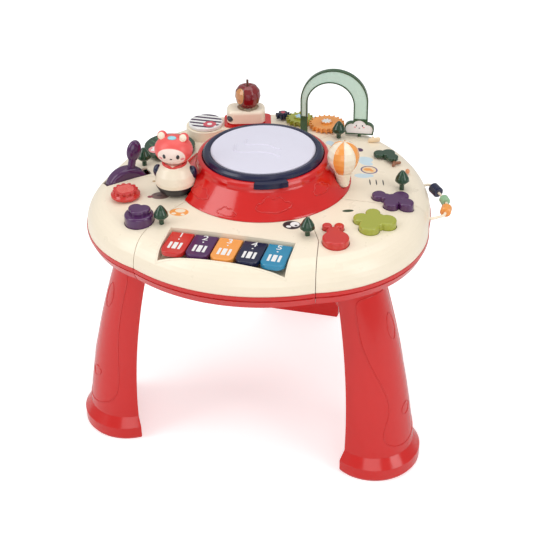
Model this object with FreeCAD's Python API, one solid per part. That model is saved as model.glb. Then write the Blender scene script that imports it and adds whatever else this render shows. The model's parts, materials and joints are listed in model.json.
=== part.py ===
import FreeCAD, Part
import math
import os
from FreeCAD import Vector

# Musical activity table: six tabletop modules round a drum, on three splayed legs.
# Millimetres, +Z up, floor at z = 0, origin under the drum. The keys face -Y.
# Directions are given in degrees from -Y, growing towards +X.

# Tabletop outline: six shallow lobes that meet at seams
SEAM_R = 215.0
SEAM_HALF_DEG = 31.2
BRIDGE_MID_R = 213.4
LEG_MID_R = 228.5
SEAM_KNEE_R = 164.0
SEAM_KNEE_DEG = 38.5
SEAM_END_R = 100.0
SEAM_END_DEG = 47.0
SEAM_GAP = 0.35
SEAM_REACH_R = 300.0

# Heights
RIM_Z = 299.0
BASE_Z = 281.0
FLAT_Z = 335.5
CROWN_Z = 338.5
CROWN_R = 104.0
WALL = 2.6

# Tabletop shoulder: a quarter of an oval, then a gentle rise to the crown
SHOULDER_REACH = 31.0
SHOULDER_RISE = 34.0
SHOULDER_STEPS = 9
FLAT_INSET = 55.0

# Red rim below the tabletop: inset from the outline, height
RIM_STEPS = [(-0.8, RIM_Z - 0.1), (-0.8, 294.0), (1.6, 293.4), (1.6, 292.0), (0.3, 291.4), (5.0, BASE_Z)]

# Legs: height, radius of the flat inner face, half width, outer radius
LEG_SECTIONS = [(32.0, 194.0, 52.5, 250.0), (110.0, 190.0, 47.7, 237.0),
                (190.0, 178.0, 42.3, 217.0), (262.0, 161.0, 37.5, 193.5)]
FOOT_SECTIONS = [(0.0, 193.0, 58.5, 257.0), (4.0, 193.0, 60.5, 259.5), (19.0, 193.0, 60.5, 259.5),
                 (32.0, 194.0, 52.5, 250.0)]
LEG_TOP_Z = 280.6
LEG_WALL = 3.0
SOCKET_Z = 262.0
SOCKET_WALL = 4.0

# Drum and its housing
HOUSING_BASE_R = 111.9
HOUSING_CAVITY_R = 82.0
LIP_R = 84.5
LIP_Z = 375.0
RING_R = 76.3
RING_Z = 380.5
SEAT_Z = 366.0
HEAD_R = 66.3
HEAD_Z = 383.2
TAB_DEG = 22.0
TAB_HALF_DEG = 14.0
TAB_R = 86.5

# Keys
KEY_COUNT = 5
KEY_PITCH = 30.2
KEY_W = 29.0
KEY_TOP_Z = 333.0
KEY_REAR_Y = -143.5
KEY_FRONT_Y = -190.5
KEY_THICK = 6.0
KEY_PIN_R = 1.5
KEY_PIN_Y = -148.0
KEY_PIN_Z = 324.8
TRAY_HALF_X = 79.0
TRAY_REAR_Y = -138.0
TRAY_FRONT_Y = -194.0
TRAY_FLOOR_Z = 318.0
TRAY_WALL = 1.8

# Buttons stand this far through the top, and have this gap round them
BUTTON_TOP_Z = 342.5
BUTTON_FOOT_Z = 326.0
BUTTON_GAP = 0.6

RADISH = [(122.0, -126.0, 16.0), (116.0, -111.0, 8.5), (106.0, -101.0, 6.0), (120.0, -98.0, 6.0)]
LEAF = [(157.0, -74.0, 16.0), (142.0, -73.0, 10.0), (154.5, -88.5, 12.5), (172.5, -72.0, 12.0),
        (153.0, -58.0, 9.0)]
GRAPE = [(171.0, -18.0, 11.0), (152.0, -12.0, 9.0), (178.5, -9.0, 10.5), (170.0, -29.0, 9.5),
         (188.0, -24.0, 9.5), (161.0, -15.0, 7.0)]
BUSH = [(132.0, 98.0, 8.0), (143.0, 102.0, 9.0), (150.0, 92.0, 8.0), (138.0, 90.0, 7.5)]

# Other play pieces: centres
KNOB_XY = (-120.0, -132.8)
KNOB_R = 18.0
DIAL_XY = (-157.0, -81.8)
DIAL_R = 18.5
LEVER_XY = (-176.0, -29.0)
LEVER_AXLE_Z = 319.0
LEVER_R = 29.0
LEVER_W = 20.0
LEVER_HEADING_DEG = 39.6
LEVER_LEAN_DEG = 14.0
PICTURE_DISC_XY = (-144.0, 50.0)
PICTURE_DISC_R = 34.0
STRIPE_DISC_XY = (-112.0, 110.0)
STRIPE_DISC_R = 23.5
POD_Z = 350.0
CAR_XY = (-58.0, 133.0)
CAR_HEADING_DEG = 16.0
CAR_LENGTH = 58.0
CAR_WIDTH = 34.0
TRACK_Z = 353.0
APPLE_Z = 388.0
FIGURE_XY = (-98.0, -58.0)
FIGURE_R = 25.5
BALLOON_XY = (104.0, -2.0)

# Gears at the rear: centre, teeth
GEAR_MODULE = 2.2
OLIVE_GEAR = ((3.8, 176.8), 16)
ORANGE_GEAR_TEETH = 21
ORANGE_GEAR_DEG = -9.5
NAVY_GEAR_TEETH = 8
NAVY_GEAR_DEG = 166.5
GEAR_Z0 = 337.3
GEAR_Z1 = 343.0
AXLE_R = 3.0
RUN_GAP = 0.05

# Rainbow arch, in its own plane: along the arch, height
ARCH_CENTRE_XY = (54.0, 153.5)
ARCH_HEADING_DEG = 6.4
ARCH_OUTER = (4.0, 383.0, 46.0)
ARCH_INNER = (-1.0, 379.0, 31.5)
ARCH_DEPTH = 7.0
ARCH_FOOT_Z = 337.0
CLOUD = [(28.0, 345.0, 9.5), (39.0, 348.0, 11.5), (50.0, 344.5, 9.0)]

# Bead rod: points it passes, and the run that each bead sits on
ROD_POINTS = [(188.0, 83.0, 307.0), (202.0, 91.0, 307.0), (221.0, 66.5, 305.5), (231.5, 47.0, 304.0),
              (231.0, 22.0, 302.5), (217.0, 11.0, 302.0), (201.0, 13.0, 302.0)]
ROD_R = 1.8
BEADS = [("bead_navy", 1, 7.2, 16.0), ("bead_mint", 2, 6.2, 11.0), ("bead_orange", 3, 7.0, 13.0)]

TREES = [(-91.0, -134.0), (86.5, -120.0), (-164.0, 5.0), (175.0, 21.0), (67.5, 141.0)]

BRIDGES = [("front", 0.0), ("back_right", 120.0), ("back_left", -120.0)]
LEG_MODULES = [("right", 60.0), ("left", -60.0), ("back", 180.0)]

UP = Vector(0, 0, 1)


def polar(radius, deg, z=0.0):
    """Point at a radius and a direction from -Y."""
    a = math.radians(deg)
    return Vector(radius * math.sin(a), -radius * math.cos(a), z)


def cylinder(x, y, z0, z1, radius):
    """Upright cylinder between two heights."""
    return Part.makeCylinder(radius, z1 - z0, Vector(x, y, z0), UP)


def block(x0, x1, y0, y1, z0, z1):
    """Box between two corners."""
    return Part.makeBox(x1 - x0, y1 - y0, z1 - z0, Vector(x0, y0, z0))


def fuse(shapes):
    """One solid from several that touch or overlap."""
    whole = shapes[0]
    for shape in shapes[1:]:
        whole = whole.fuse(shape)
    return whole.removeSplitter()


def prism(points, z0, z1):
    """Upright prism over a closed polygon."""
    corners = [Vector(x, y, z0) for x, y in points]
    face = Part.Face(Part.makePolygon(corners + [corners[0]]))
    return face.extrude(Vector(0, 0, z1 - z0))


def turned(profile, x=0.0, y=0.0):
    """Solid of revolution about the upright line through x, y; profile is radius, height."""
    corners = [Vector(r, 0, z) for r, z in profile]
    face = Part.Face(Part.makePolygon(corners + [corners[0]]))
    solid = face.revolve(Vector(0, 0, 0), UP, 360)
    solid.translate(Vector(x, y, 0))
    return solid


def blob(circles, z0, z1, grow=0.0):
    """Union of upright cylinders, each wider by grow."""
    return fuse([cylinder(x, y, z0, z1, r + grow) for x, y, r in circles])


def soft_blob(circles, z0, z1, soft):
    """Union of upright cylinders whose top edges are rounded."""
    pegs = []
    for x, y, r in circles:
        peg = cylinder(x, y, z0, z1, r)
        pegs.append(peg.makeFillet(soft, [e for e in peg.Edges if e.BoundBox.ZMin > z1 - 0.01]))
    return fuse(pegs)


def lobed_wire(inset, z):
    """Tabletop outline moved inwards by inset, as six arcs."""
    edges = []
    for deg in range(0, 360, 60):
        is_bridge = deg % 120 == 0
        half = SEAM_HALF_DEG if is_bridge else 60.0 - SEAM_HALF_DEG
        middle = BRIDGE_MID_R if is_bridge else LEG_MID_R
        edges.append(Part.Arc(polar(SEAM_R - inset, deg - half, z), polar(middle - inset, deg, z),
                              polar(SEAM_R - inset, deg + half, z)).toShape())
    return Part.Wire(edges)


def round_wire(radius, z):
    """Circle split at the seams like the outline."""
    edges = []
    for deg in range(0, 360, 60):
        half = SEAM_HALF_DEG if deg % 120 == 0 else 60.0 - SEAM_HALF_DEG
        edges.append(Part.Arc(polar(radius, deg - half, z), polar(radius, deg, z),
                              polar(radius, deg + half, z)).toShape())
    return Part.Wire(edges)


def dome(shrink):
    """Solid under the tabletop's skin, moved inwards by shrink."""
    reach = SHOULDER_REACH
    wires = [lobed_wire(shrink, RIM_Z - 1.0)] if shrink else []
    for i in range(SHOULDER_STEPS + 1):
        turn = math.radians(90.0 * i / SHOULDER_STEPS)
        wires.append(lobed_wire(shrink + reach * (1.0 - math.cos(turn)),
                                RIM_Z + (SHOULDER_RISE - shrink) * math.sin(turn)))
    shoulder = Part.makeLoft(wires[-SHOULDER_STEPS - 1:], True, True)
    top = Part.makeLoft([wires[-1], lobed_wire(FLAT_INSET + shrink, FLAT_Z - shrink),
                         round_wire(CROWN_R - shrink, CROWN_Z - shrink)], True, True)
    solid = shoulder.fuse(top)
    if shrink:
        solid = solid.fuse(Part.makeLoft(wires[:2], True, True))
    return solid


def seam_points(deg, side, gap):
    """Seam of the bridge at deg on one side, shifted across itself by gap."""
    steps = ((SEAM_REACH_R, SEAM_HALF_DEG), (SEAM_R, SEAM_HALF_DEG), (SEAM_KNEE_R, SEAM_KNEE_DEG),
             (SEAM_END_R, SEAM_END_DEG))
    points = []
    for radius, angle in steps:
        p = polar(radius, deg + side * angle)
        shift = polar(gap, deg + side * 90.0)
        points.append((p.x + shift.x, p.y + shift.y))
    return points


def bridge_sector(deg, z0, z1):
    """Upright block over one bridge module."""
    right = seam_points(deg, 1.0, -SEAM_GAP)
    left = seam_points(deg, -1.0, -SEAM_GAP)
    return prism(right + left[::-1], z0, z1)


def leg_sector(deg, z0, z1):
    """Upright block over one leg module, between two bridges."""
    first = seam_points(deg - 60.0, 1.0, SEAM_GAP)
    second = seam_points(deg + 60.0, -1.0, SEAM_GAP)
    tip = polar(SEAM_END_R - 6.0, deg)
    return prism(first + [(tip.x, tip.y)] + second[::-1], z0, z1)


def oriented(shape, x, y, deg):
    """Shape made at the origin, turned by deg about Z and moved to x, y."""
    copy = shape.copy()
    copy.rotate(Vector(0, 0, 0), UP, deg)
    copy.translate(Vector(x, y, 0))
    return copy


def leg_wire(section, direction_deg, grow=0.0, z=None):
    """Flat-backed rounded leg section; grow moves every side outwards."""
    height, inner, half, outer = section
    height = height if z is None else z
    out = polar(1.0, direction_deg)
    side = Vector(-out.y, out.x, 0)
    back = out * (inner - grow)
    a = back - side * (half + grow) + Vector(0, 0, height)
    b = out * (outer + grow) + Vector(0, 0, height)
    c = back + side * (half + grow) + Vector(0, 0, height)
    return Part.Wire([Part.Arc(a, b, c).toShape(), Part.LineSegment(c, a).toShape()])


def leg(direction_deg):
    """Hollow leg, open at the top, with its flared foot."""
    shaft = Part.makeLoft([leg_wire(s, direction_deg) for s in LEG_SECTIONS], True, False)
    plug = Part.makeLoft([leg_wire(LEG_SECTIONS[-1], direction_deg),
                          leg_wire(LEG_SECTIONS[-1], direction_deg, 0.0, LEG_TOP_Z)], True, True)
    foot = Part.makeLoft([leg_wire(s, direction_deg) for s in FOOT_SECTIONS], True, True)
    inner = [(z, i + LEG_WALL, h - LEG_WALL, o - LEG_WALL) for z, i, h, o in LEG_SECTIONS]
    cavity = Part.makeLoft([leg_wire(s, direction_deg) for s in inner], True, False)
    mouth = Part.makeLoft([leg_wire(inner[-1], direction_deg),
                           leg_wire(inner[-1], direction_deg, 0.0, LEG_TOP_Z + 1.0)], True, True)
    return shaft.fuse(plug).fuse(foot).cut(cavity).cut(mouth)


def latch_box(direction_deg, radial, z0, z1, half, depth):
    """Upright box on the outer side of a leg top."""
    box = block(-half, half, -radial - depth, -radial, z0, z1)
    box.rotate(Vector(0, 0, 0), UP, direction_deg)
    return box


LATCH_R = LEG_SECTIONS[-1][3]


def leg_socket(direction_deg):
    """Collar under the rim that the leg's top plugs into."""
    top = LEG_SECTIONS[-1]
    outer = Part.makeLoft([leg_wire(top, direction_deg, SOCKET_WALL, SOCKET_Z),
                           leg_wire(top, direction_deg, SOCKET_WALL + 1.0, 272.0),
                           leg_wire(top, direction_deg, SOCKET_WALL + 9.0, BASE_Z)], True, True)
    hole = Part.makeLoft([leg_wire(top, direction_deg, 0.02, SOCKET_Z - 1.0),
                          leg_wire(top, direction_deg, 0.02, BASE_Z)], True, True)
    return outer.cut(hole)


def rim_solid():
    """Solid under the stepped red rim."""
    return Part.makeLoft([lobed_wire(inset, z) for inset, z in RIM_STEPS], True, True)


def rim_cavity():
    """Hollow inside the red rim, above its floor."""
    wires = [lobed_wire(4.6, RIM_Z + 1.0), lobed_wire(4.6, 292.0), lobed_wire(8.4, BASE_Z + WALL)]
    return Part.makeLoft(wires, True, True)


def base_shells():
    """Six red lower mouldings; those under the legs carry the sockets."""
    core = cylinder(0, 0, BASE_Z - 1.0, RIM_Z + 2.0, CROWN_R)
    ring = rim_solid().cut(rim_cavity()).cut(core)
    shells = {}
    for name, deg in BRIDGES:
        shells["base_" + name] = ring.common(bridge_sector(deg, BASE_Z - 2.0, RIM_Z + 4.0))
    for name, deg in LEG_MODULES:
        shell = ring.common(leg_sector(deg, BASE_Z - 2.0, RIM_Z + 4.0)).fuse(leg_socket(deg))
        slot = latch_box(deg, LATCH_R - 6.0, 266.0, 279.0, 6.4, 22.0)
        shells["base_leg_" + name] = shell.cut(slot).removeSplitter()
    return shells


def latch(direction_deg):
    """Push-in latch button that holds a leg in its socket."""
    button = latch_box(direction_deg, LATCH_R + 1.0, 266.6, 278.4, 5.8, 7.0)
    rib = latch_box(direction_deg, LATCH_R + 8.0, 269.0, 276.0, 1.0, 0.8)
    return button.fuse(rib)


def key_tray_solid(skin):
    """Open tray that the keys lie in, cut flush with the tabletop's skin."""
    outer = block(-TRAY_HALF_X, TRAY_HALF_X, TRAY_FRONT_Y, TRAY_REAR_Y, TRAY_FLOOR_Z - TRAY_WALL, 350.0)
    inner = block(-TRAY_HALF_X + TRAY_WALL, TRAY_HALF_X - TRAY_WALL, TRAY_FRONT_Y + TRAY_WALL,
                  TRAY_REAR_Y - TRAY_WALL, TRAY_FLOOR_Z, 351.0)
    pin = Part.makeCylinder(KEY_PIN_R, 2.0 * TRAY_HALF_X - 2.0, Vector(1.0 - TRAY_HALF_X, KEY_PIN_Y, KEY_PIN_Z),
                            Vector(1, 0, 0))
    return outer.cut(inner).common(skin).fuse(pin), outer


def key(index):
    """One key: flat slab with a rounded front, a hinge barrel under its rear."""
    x = (index - (KEY_COUNT - 1) / 2.0) * KEY_PITCH
    half = KEY_W / 2.0
    corner = 10.0
    low = KEY_TOP_Z - KEY_THICK
    slab = fuse([block(x - half, x + half, KEY_FRONT_Y + corner, KEY_REAR_Y, low, KEY_TOP_Z),
                 block(x - half + corner, x + half - corner, KEY_FRONT_Y, KEY_REAR_Y, low, KEY_TOP_Z),
                 cylinder(x - half + corner, KEY_FRONT_Y + corner, low, KEY_TOP_Z, corner),
                 cylinder(x + half - corner, KEY_FRONT_Y + corner, low, KEY_TOP_Z, corner)])
    edges = [e for e in slab.Edges if e.BoundBox.ZMin > KEY_TOP_Z - 0.01]
    slab = slab.makeFillet(1.6, edges)
    barrel = Part.makeCylinder(3.4, KEY_W - 8.0, Vector(x - half + 4.0, KEY_PIN_Y, KEY_PIN_Z), Vector(1, 0, 0))
    bore = Part.makeCylinder(KEY_PIN_R + RUN_GAP, KEY_W + 2.0, Vector(x - half - 1.0, KEY_PIN_Y, KEY_PIN_Z),
                             Vector(1, 0, 0))
    return slab.fuse(barrel).cut(bore).removeSplitter()


def soft_button(circles):
    """Push button: a blob with a rounded top that passes through the tabletop."""
    return soft_blob(circles, BUTTON_FOOT_Z, BUTTON_TOP_Z, 2.2)


def knob():
    """Two-tier push knob."""
    x, y = KNOB_XY
    tiers = soft_blob([(x, y, KNOB_R)], BUTTON_FOOT_Z - 4.0, 346.0, 3.0)
    crown = soft_blob([(x - 5.0, y + 3.0, 9.0), (x + 5.0, y + 3.0, 9.0), (x, y - 1.0, 10.0)], 340.0, 352.0, 2.5)
    return tiers.fuse(crown).removeSplitter()


def dial():
    """Rotary dial with a fluted crown, on a stem through the top."""
    x, y = DIAL_XY
    base = turned([(0, 336.5), (DIAL_R - 1.5, 336.5), (DIAL_R, 338.0), (DIAL_R, 340.5), (DIAL_R - 3.0, 343.0),
                   (0, 343.0)], x, y)
    flutes = [cylinder(x + 13.4 * math.cos(math.radians(30.0 * i)), y + 13.4 * math.sin(math.radians(30.0 * i)),
                       342.0, 346.5, 2.6) for i in range(12)]
    crown = cylinder(x, y, 342.0, 346.5, 13.6)
    stem = cylinder(x, y, 322.0, 337.0, AXLE_R)
    return fuse([base, crown, stem] + flutes)


def lever():
    """Rocking half disc with an upright oval paddle."""
    disc = Part.makeCylinder(LEVER_R, LEVER_W, Vector(0, -LEVER_W / 2.0, 0), Vector(0, 1, 0))
    disc = disc.makeFillet(6.0, disc.Edges[0:1] + disc.Edges[2:3])
    disc = disc.cut(block(-40, 40, -20, 20, -40, -6.0))
    stem = Part.makeCylinder(5.0, 20.0, Vector(0, 0, LEVER_R - 3.0), UP)
    paddle = Part.makeSphere(1.0)
    matrix = FreeCAD.Matrix()
    matrix.scale(9.5, 6.5, 15.0)
    paddle = paddle.transformGeometry(matrix)
    paddle.translate(Vector(0, 0, LEVER_R + 22.0))
    bore = Part.makeCylinder(AXLE_R + RUN_GAP, 40.0, Vector(0, -20, 0), Vector(0, 1, 0))
    whole = disc.fuse(stem).fuse(paddle).cut(bore).removeSplitter()
    whole.rotate(Vector(0, 0, 0), Vector(0, 1, 0), LEVER_LEAN_DEG)
    whole.rotate(Vector(0, 0, 0), UP, LEVER_HEADING_DEG)
    whole.translate(Vector(LEVER_XY[0], LEVER_XY[1], LEVER_AXLE_Z))
    return whole


def lever_well():
    """Space that the rocking lever needs in the top."""
    well = block(-LEVER_R - 1.5, LEVER_R + 1.5, -LEVER_W / 2.0 - 0.6, LEVER_W / 2.0 + 0.6, 290.0, 360.0)
    return oriented(well, LEVER_XY[0], LEVER_XY[1], LEVER_HEADING_DEG)


def lever_axle():
    """Fixed axle and its two brackets, hung under the top beside the lever."""
    half = LEVER_W / 2.0
    rod = Part.makeCylinder(AXLE_R, LEVER_W + 6.0, Vector(0, -half - 3.0, LEVER_AXLE_Z), Vector(0, 1, 0))
    cheeks = [block(-6.0, 6.0, side * (half + 2.6) - 1.6, side * (half + 2.6) + 1.6, LEVER_AXLE_Z - 5.0, 330.5)
              for side in (-1.0, 1.0)]
    return oriented(fuse([rod] + cheeks), LEVER_XY[0], LEVER_XY[1], LEVER_HEADING_DEG)


def gear(centre, teeth, phase_deg):
    """Play gear with short wide teeth, on a fixed axle."""
    pitch_r = GEAR_MODULE * teeth / 2.0
    root_r = pitch_r - 1.0 * GEAR_MODULE
    tip_r = pitch_r + 0.72 * GEAR_MODULE
    step = 360.0 / teeth
    points = []
    for i in range(teeth):
        middle = phase_deg + i * step
        for share, radius in ((-0.23, root_r), (-0.09, tip_r), (0.09, tip_r), (0.23, root_r)):
            a = math.radians(middle + share * step)
            points.append((centre[0] + radius * math.cos(a), centre[1] + radius * math.sin(a)))
    body = prism(points, GEAR_Z0, GEAR_Z1)
    boss = cylinder(centre[0], centre[1], GEAR_Z0, GEAR_Z1 + 2.0, min(8.0, root_r - 0.6))
    bore = cylinder(centre[0], centre[1], GEAR_Z0 - 1.0, GEAR_Z1 - 1.0, AXLE_R + RUN_GAP)
    return body.fuse(boss).cut(bore).removeSplitter()


def gear_centre(teeth, heading_deg):
    """Centre of a gear in mesh with the olive one, in the given heading from +X."""
    (x, y), olive_teeth = OLIVE_GEAR
    distance = GEAR_MODULE * (teeth + olive_teeth) / 2.0
    a = math.radians(heading_deg)
    return (x + distance * math.cos(a), y + distance * math.sin(a))


ORANGE_GEAR_XY = gear_centre(ORANGE_GEAR_TEETH, ORANGE_GEAR_DEG)
NAVY_GEAR_XY = gear_centre(NAVY_GEAR_TEETH, NAVY_GEAR_DEG)


def gears():
    """Three meshed gears: a tooth of the olive one faces a gap of each neighbour."""
    centre, teeth = OLIVE_GEAR
    step = 360.0 / teeth
    navy_step = 360.0 / NAVY_GEAR_TEETH
    orange_step = 360.0 / ORANGE_GEAR_TEETH
    slip = ((NAVY_GEAR_DEG - ORANGE_GEAR_DEG) / step) % 1.0
    return {
        "gear_olive": gear(centre, teeth, ORANGE_GEAR_DEG),
        "gear_orange": gear(ORANGE_GEAR_XY, ORANGE_GEAR_TEETH, ORANGE_GEAR_DEG + 180.0 + orange_step / 2.0),
        "gear_navy": gear(NAVY_GEAR_XY, NAVY_GEAR_TEETH,
                          NAVY_GEAR_DEG + 180.0 + navy_step / 2.0 + slip * navy_step),
    }


def axle(xy, top_z, low_z=326.0):
    """Fixed upright axle that a turning piece sits on."""
    return cylinder(xy[0], xy[1], low_z, top_z, AXLE_R)


def turntable(xy, radius, z0, z1):
    """Flat turning disc with a softened edge and a blind bore."""
    disc = turned([(0, z0), (radius - 0.8, z0), (radius, z0 + 0.8), (radius, z1 - 1.2), (radius - 1.2, z1),
                   (0, z1)], xy[0], xy[1])
    return disc.cut(cylinder(xy[0], xy[1], z0 - 1.0, z1 - 1.6, AXLE_R + RUN_GAP))


def pod():
    """Raised platform for the striped disc and the car's track."""
    discs = blob([(STRIPE_DISC_XY[0], STRIPE_DISC_XY[1], 27.0), (CAR_XY[0] - 2.0, CAR_XY[1] - 1.0, 22.0)],
                 330.0, POD_Z)
    link = block(-30.0, 30.0, -20.0, 20.0, 330.0, POD_Z)
    middle = ((STRIPE_DISC_XY[0] + CAR_XY[0]) / 2.0, (STRIPE_DISC_XY[1] + CAR_XY[1]) / 2.0)
    return discs.fuse(oriented(link, middle[0], middle[1], 23.0)).removeSplitter()


def car_track():
    """Red track plate with a raised guide rail along it."""
    plate = block(-CAR_LENGTH / 2.0 - 4.0, CAR_LENGTH / 2.0 + 2.0, -CAR_WIDTH / 2.0 - 2.0, CAR_WIDTH / 2.0 + 2.0,
                  POD_Z, TRACK_Z)
    plate = plate.makeFillet(8.0, [e for e in plate.Edges if e.Length < 3.5])
    rail = block(-CAR_LENGTH / 2.0 + 6.0, CAR_LENGTH / 2.0 - 6.0, -3.0, 3.0, TRACK_Z, TRACK_Z + 4.0)
    return oriented(plate.fuse(rail), CAR_XY[0], CAR_XY[1], CAR_HEADING_DEG)


def car():
    """Rounded car body with a round seat for the apple and a slot over the rail."""
    low = TRACK_Z + 0.4
    body = block(-CAR_LENGTH / 2.0, CAR_LENGTH / 2.0 - 6.0, -CAR_WIDTH / 2.0, CAR_WIDTH / 2.0, low, low + 19.0)
    body = body.makeFillet(11.0, [e for e in body.Edges if abs(e.Length - 19.0) < 0.01])
    body = body.makeFillet(5.0, [e for e in body.Edges if e.BoundBox.ZMin > low + 18.9])
    seat = cylinder(0, 0, low + 8.0, low + 30.0, 14.5)
    slot = block(-40, 40, -3.4, 3.4, low - 1.0, low + 4.4)
    post = cylinder(0, 0, low + 6.0, low + 15.0, AXLE_R)
    return oriented(body.cut(seat).cut(slot).fuse(post), CAR_XY[0], CAR_XY[1], CAR_HEADING_DEG)


def apple():
    """Apple that spins on the post in the car, with its stalk."""
    x, y = CAR_XY
    rings = [(0.0, -15.2), (5.0, -16.4), (11.0, -13.6), (15.6, -7.0), (17.4, 1.0), (16.4, 8.6), (12.4, 14.2),
             (7.0, 16.4), (2.4, 14.6), (1.6, 15.0), (1.6, 24.0), (0.0, 24.0)]
    body = turned([(r, APPLE_Z + z) for r, z in rings], x, y)
    return body.cut(cylinder(x, y, APPLE_Z - 20.0, APPLE_Z - 11.5, AXLE_R + RUN_GAP))


def figure_body():
    """Round body of the small animal, on a peg through the top."""
    x, y = FIGURE_XY
    rings = [(0, 339.3), (17.0, 339.3), (21.5, 343.0), (25.0, 350.0), (25.5, 357.0), (23.5, 366.0),
             (18.5, 375.0), (13.0, 380.0), (0, 380.0)]
    peg = cylinder(x, y, 326.0, 340.0, AXLE_R)
    return turned(rings, x, y).fuse(peg).removeSplitter()


def figure_head():
    """Wide round head with two ears."""
    x, y = FIGURE_XY
    head = Part.makeSphere(1.0)
    matrix = FreeCAD.Matrix()
    matrix.scale(24.0, 21.0, 18.5)
    head = head.transformGeometry(matrix)
    head.translate(Vector(x, y, 397.5))
    ears = [Part.makeSphere(6.2, Vector(x + side * 14.0, y + 1.0, 414.0)) for side in (-1.0, 1.0)]
    below = block(x - 40, x + 40, y - 40, y + 40, 370.0, 380.0)
    return head.fuse(ears[0]).fuse(ears[1]).cut(below).removeSplitter()


def balloon():
    """Balloon envelope that tapers to its skirt."""
    x, y = BALLOON_XY
    rings = [(0, 403.5), (6.5, 402.4), (12.6, 399.0), (17.2, 393.4), (19.5, 386.0), (19.2, 379.0),
             (16.6, 371.6), (12.6, 365.4), (9.6, 362.0), (0, 362.0)]
    return turned(rings, x, y)


def balloon_basket():
    """Tapered basket under the balloon, on a peg into the drum housing."""
    x, y = BALLOON_XY
    rings = [(0, 362.0), (10.4, 362.0), (10.8, 361.0), (10.4, 359.4), (9.6, 359.0), (7.0, 343.6), (0, 343.6)]
    peg = cylinder(x, y, 339.5, 344.0, 2.4)
    return turned(rings, x, y).fuse(peg).removeSplitter()


def drum_housing():
    """Conical red housing with a rolled lip, notched for the drum's tab."""
    profile = [(HOUSING_BASE_R, CROWN_Z), (110.8, 340.2), (86.0, 364.6), (LIP_R + 0.6, 366.6), (LIP_R, 370.5),
               (LIP_R - 1.5, 373.8), (LIP_R - 4.0, LIP_Z), (RING_R + 1.4, LIP_Z), (RING_R + 1.0, SEAT_Z),
               (62.0, SEAT_Z), (62.0, SEAT_Z - 3.0), (HOUSING_CAVITY_R, SEAT_Z - 3.0),
               (HOUSING_CAVITY_R, CROWN_Z)]
    cone = turned(profile)
    notch = tab_solid(0.7, 368.4, 380.0, 6.0)
    figure_pocket = cylinder(FIGURE_XY[0], FIGURE_XY[1], 337.0, 380.0, FIGURE_R + 0.9)
    balloon_pocket = cylinder(BALLOON_XY[0], BALLOON_XY[1], 342.6, 380.0, 11.6)
    peg_hole = cylinder(BALLOON_XY[0], BALLOON_XY[1], 337.0, 345.0, 2.4 + RUN_GAP)
    return cone.cut(notch).cut(figure_pocket).cut(balloon_pocket).cut(peg_hole)


def tab_solid(grow, z0, z1, reach=0.0):
    """Sector-shaped pull tab on the drum's front."""
    half = TAB_HALF_DEG + math.degrees(grow / TAB_R)
    tube = cylinder(0, 0, z0, z1, TAB_R + reach).cut(cylinder(0, 0, z0 - 1.0, z1 + 1.0, RING_R - 2.0))
    corners = [(0.0, 0.0)]
    for deg in (TAB_DEG - half, TAB_DEG, TAB_DEG + half):
        p = polar(2.0 * TAB_R, deg)
        corners.append((p.x, p.y))
    return tube.common(prism(corners, z0, z1))


def drum_ring():
    """Navy drum bowl: rounded ring, floor and pull tab."""
    profile = [(0, SEAT_Z + 0.2), (RING_R + 0.6, SEAT_Z + 0.2), (RING_R + 0.6, 374.5), (RING_R, 378.0),
               (RING_R - 2.6, RING_Z), (RING_R - 6.0, RING_Z + 0.4), (HEAD_R + 0.5, RING_Z - 0.6),
               (HEAD_R + 0.5, SEAT_Z + 3.0), (0, SEAT_Z + 3.0)]
    return turned(profile).fuse(tab_solid(0.0, 369.4, 376.5)).removeSplitter()


def drum_head():
    """Slightly crowned drum pad that gives when struck."""
    profile = [(0, 375.0), (HEAD_R, 375.0), (HEAD_R, 380.6), (HEAD_R - 1.6, 382.0), (HEAD_R * 0.5, 382.9),
               (0, HEAD_Z)]
    return turned(profile)


def arch_face(circle, low):
    """Upright arch outline as a face in the plane y = 0: circle above, straight sides below."""
    cx, cz, r = circle
    a = Vector(cx - r, 0, low)
    b = Vector(cx - r, 0, cz)
    top = Vector(cx, 0, cz + r)
    c = Vector(cx + r, 0, cz)
    d = Vector(cx + r, 0, low)
    return Part.Face(Part.Wire([Part.LineSegment(a, b).toShape(), Part.Arc(b, top, c).toShape(),
                                Part.LineSegment(c, d).toShape(), Part.LineSegment(d, a).toShape()]))


def arch_slab(outer, inner, low, depth):
    """Arch of a depth along y, centred on y = 0."""
    move = Vector(0, depth, 0)
    solid = arch_face(outer, low).extrude(move).cut(arch_face(inner, low - 5.0).extrude(move))
    solid.translate(Vector(0, -depth / 2.0, 0))
    return solid


def cloud_slab(depth, grow):
    """Cloud at the arch's right foot."""
    lobes = [Part.makeCylinder(r + grow, depth, Vector(x, -depth / 2.0, z), Vector(0, 1, 0)) for x, z, r in CLOUD]
    sole = block(CLOUD[0][0] - 8.0 - grow, CLOUD[2][0] + 8.0 + grow, -depth / 2.0, depth / 2.0, ARCH_FOOT_Z, 346.0)
    whole = fuse(lobes + [sole])
    return whole.cut(block(-80, 120, -20, 20, 300.0, ARCH_FOOT_Z))


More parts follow.
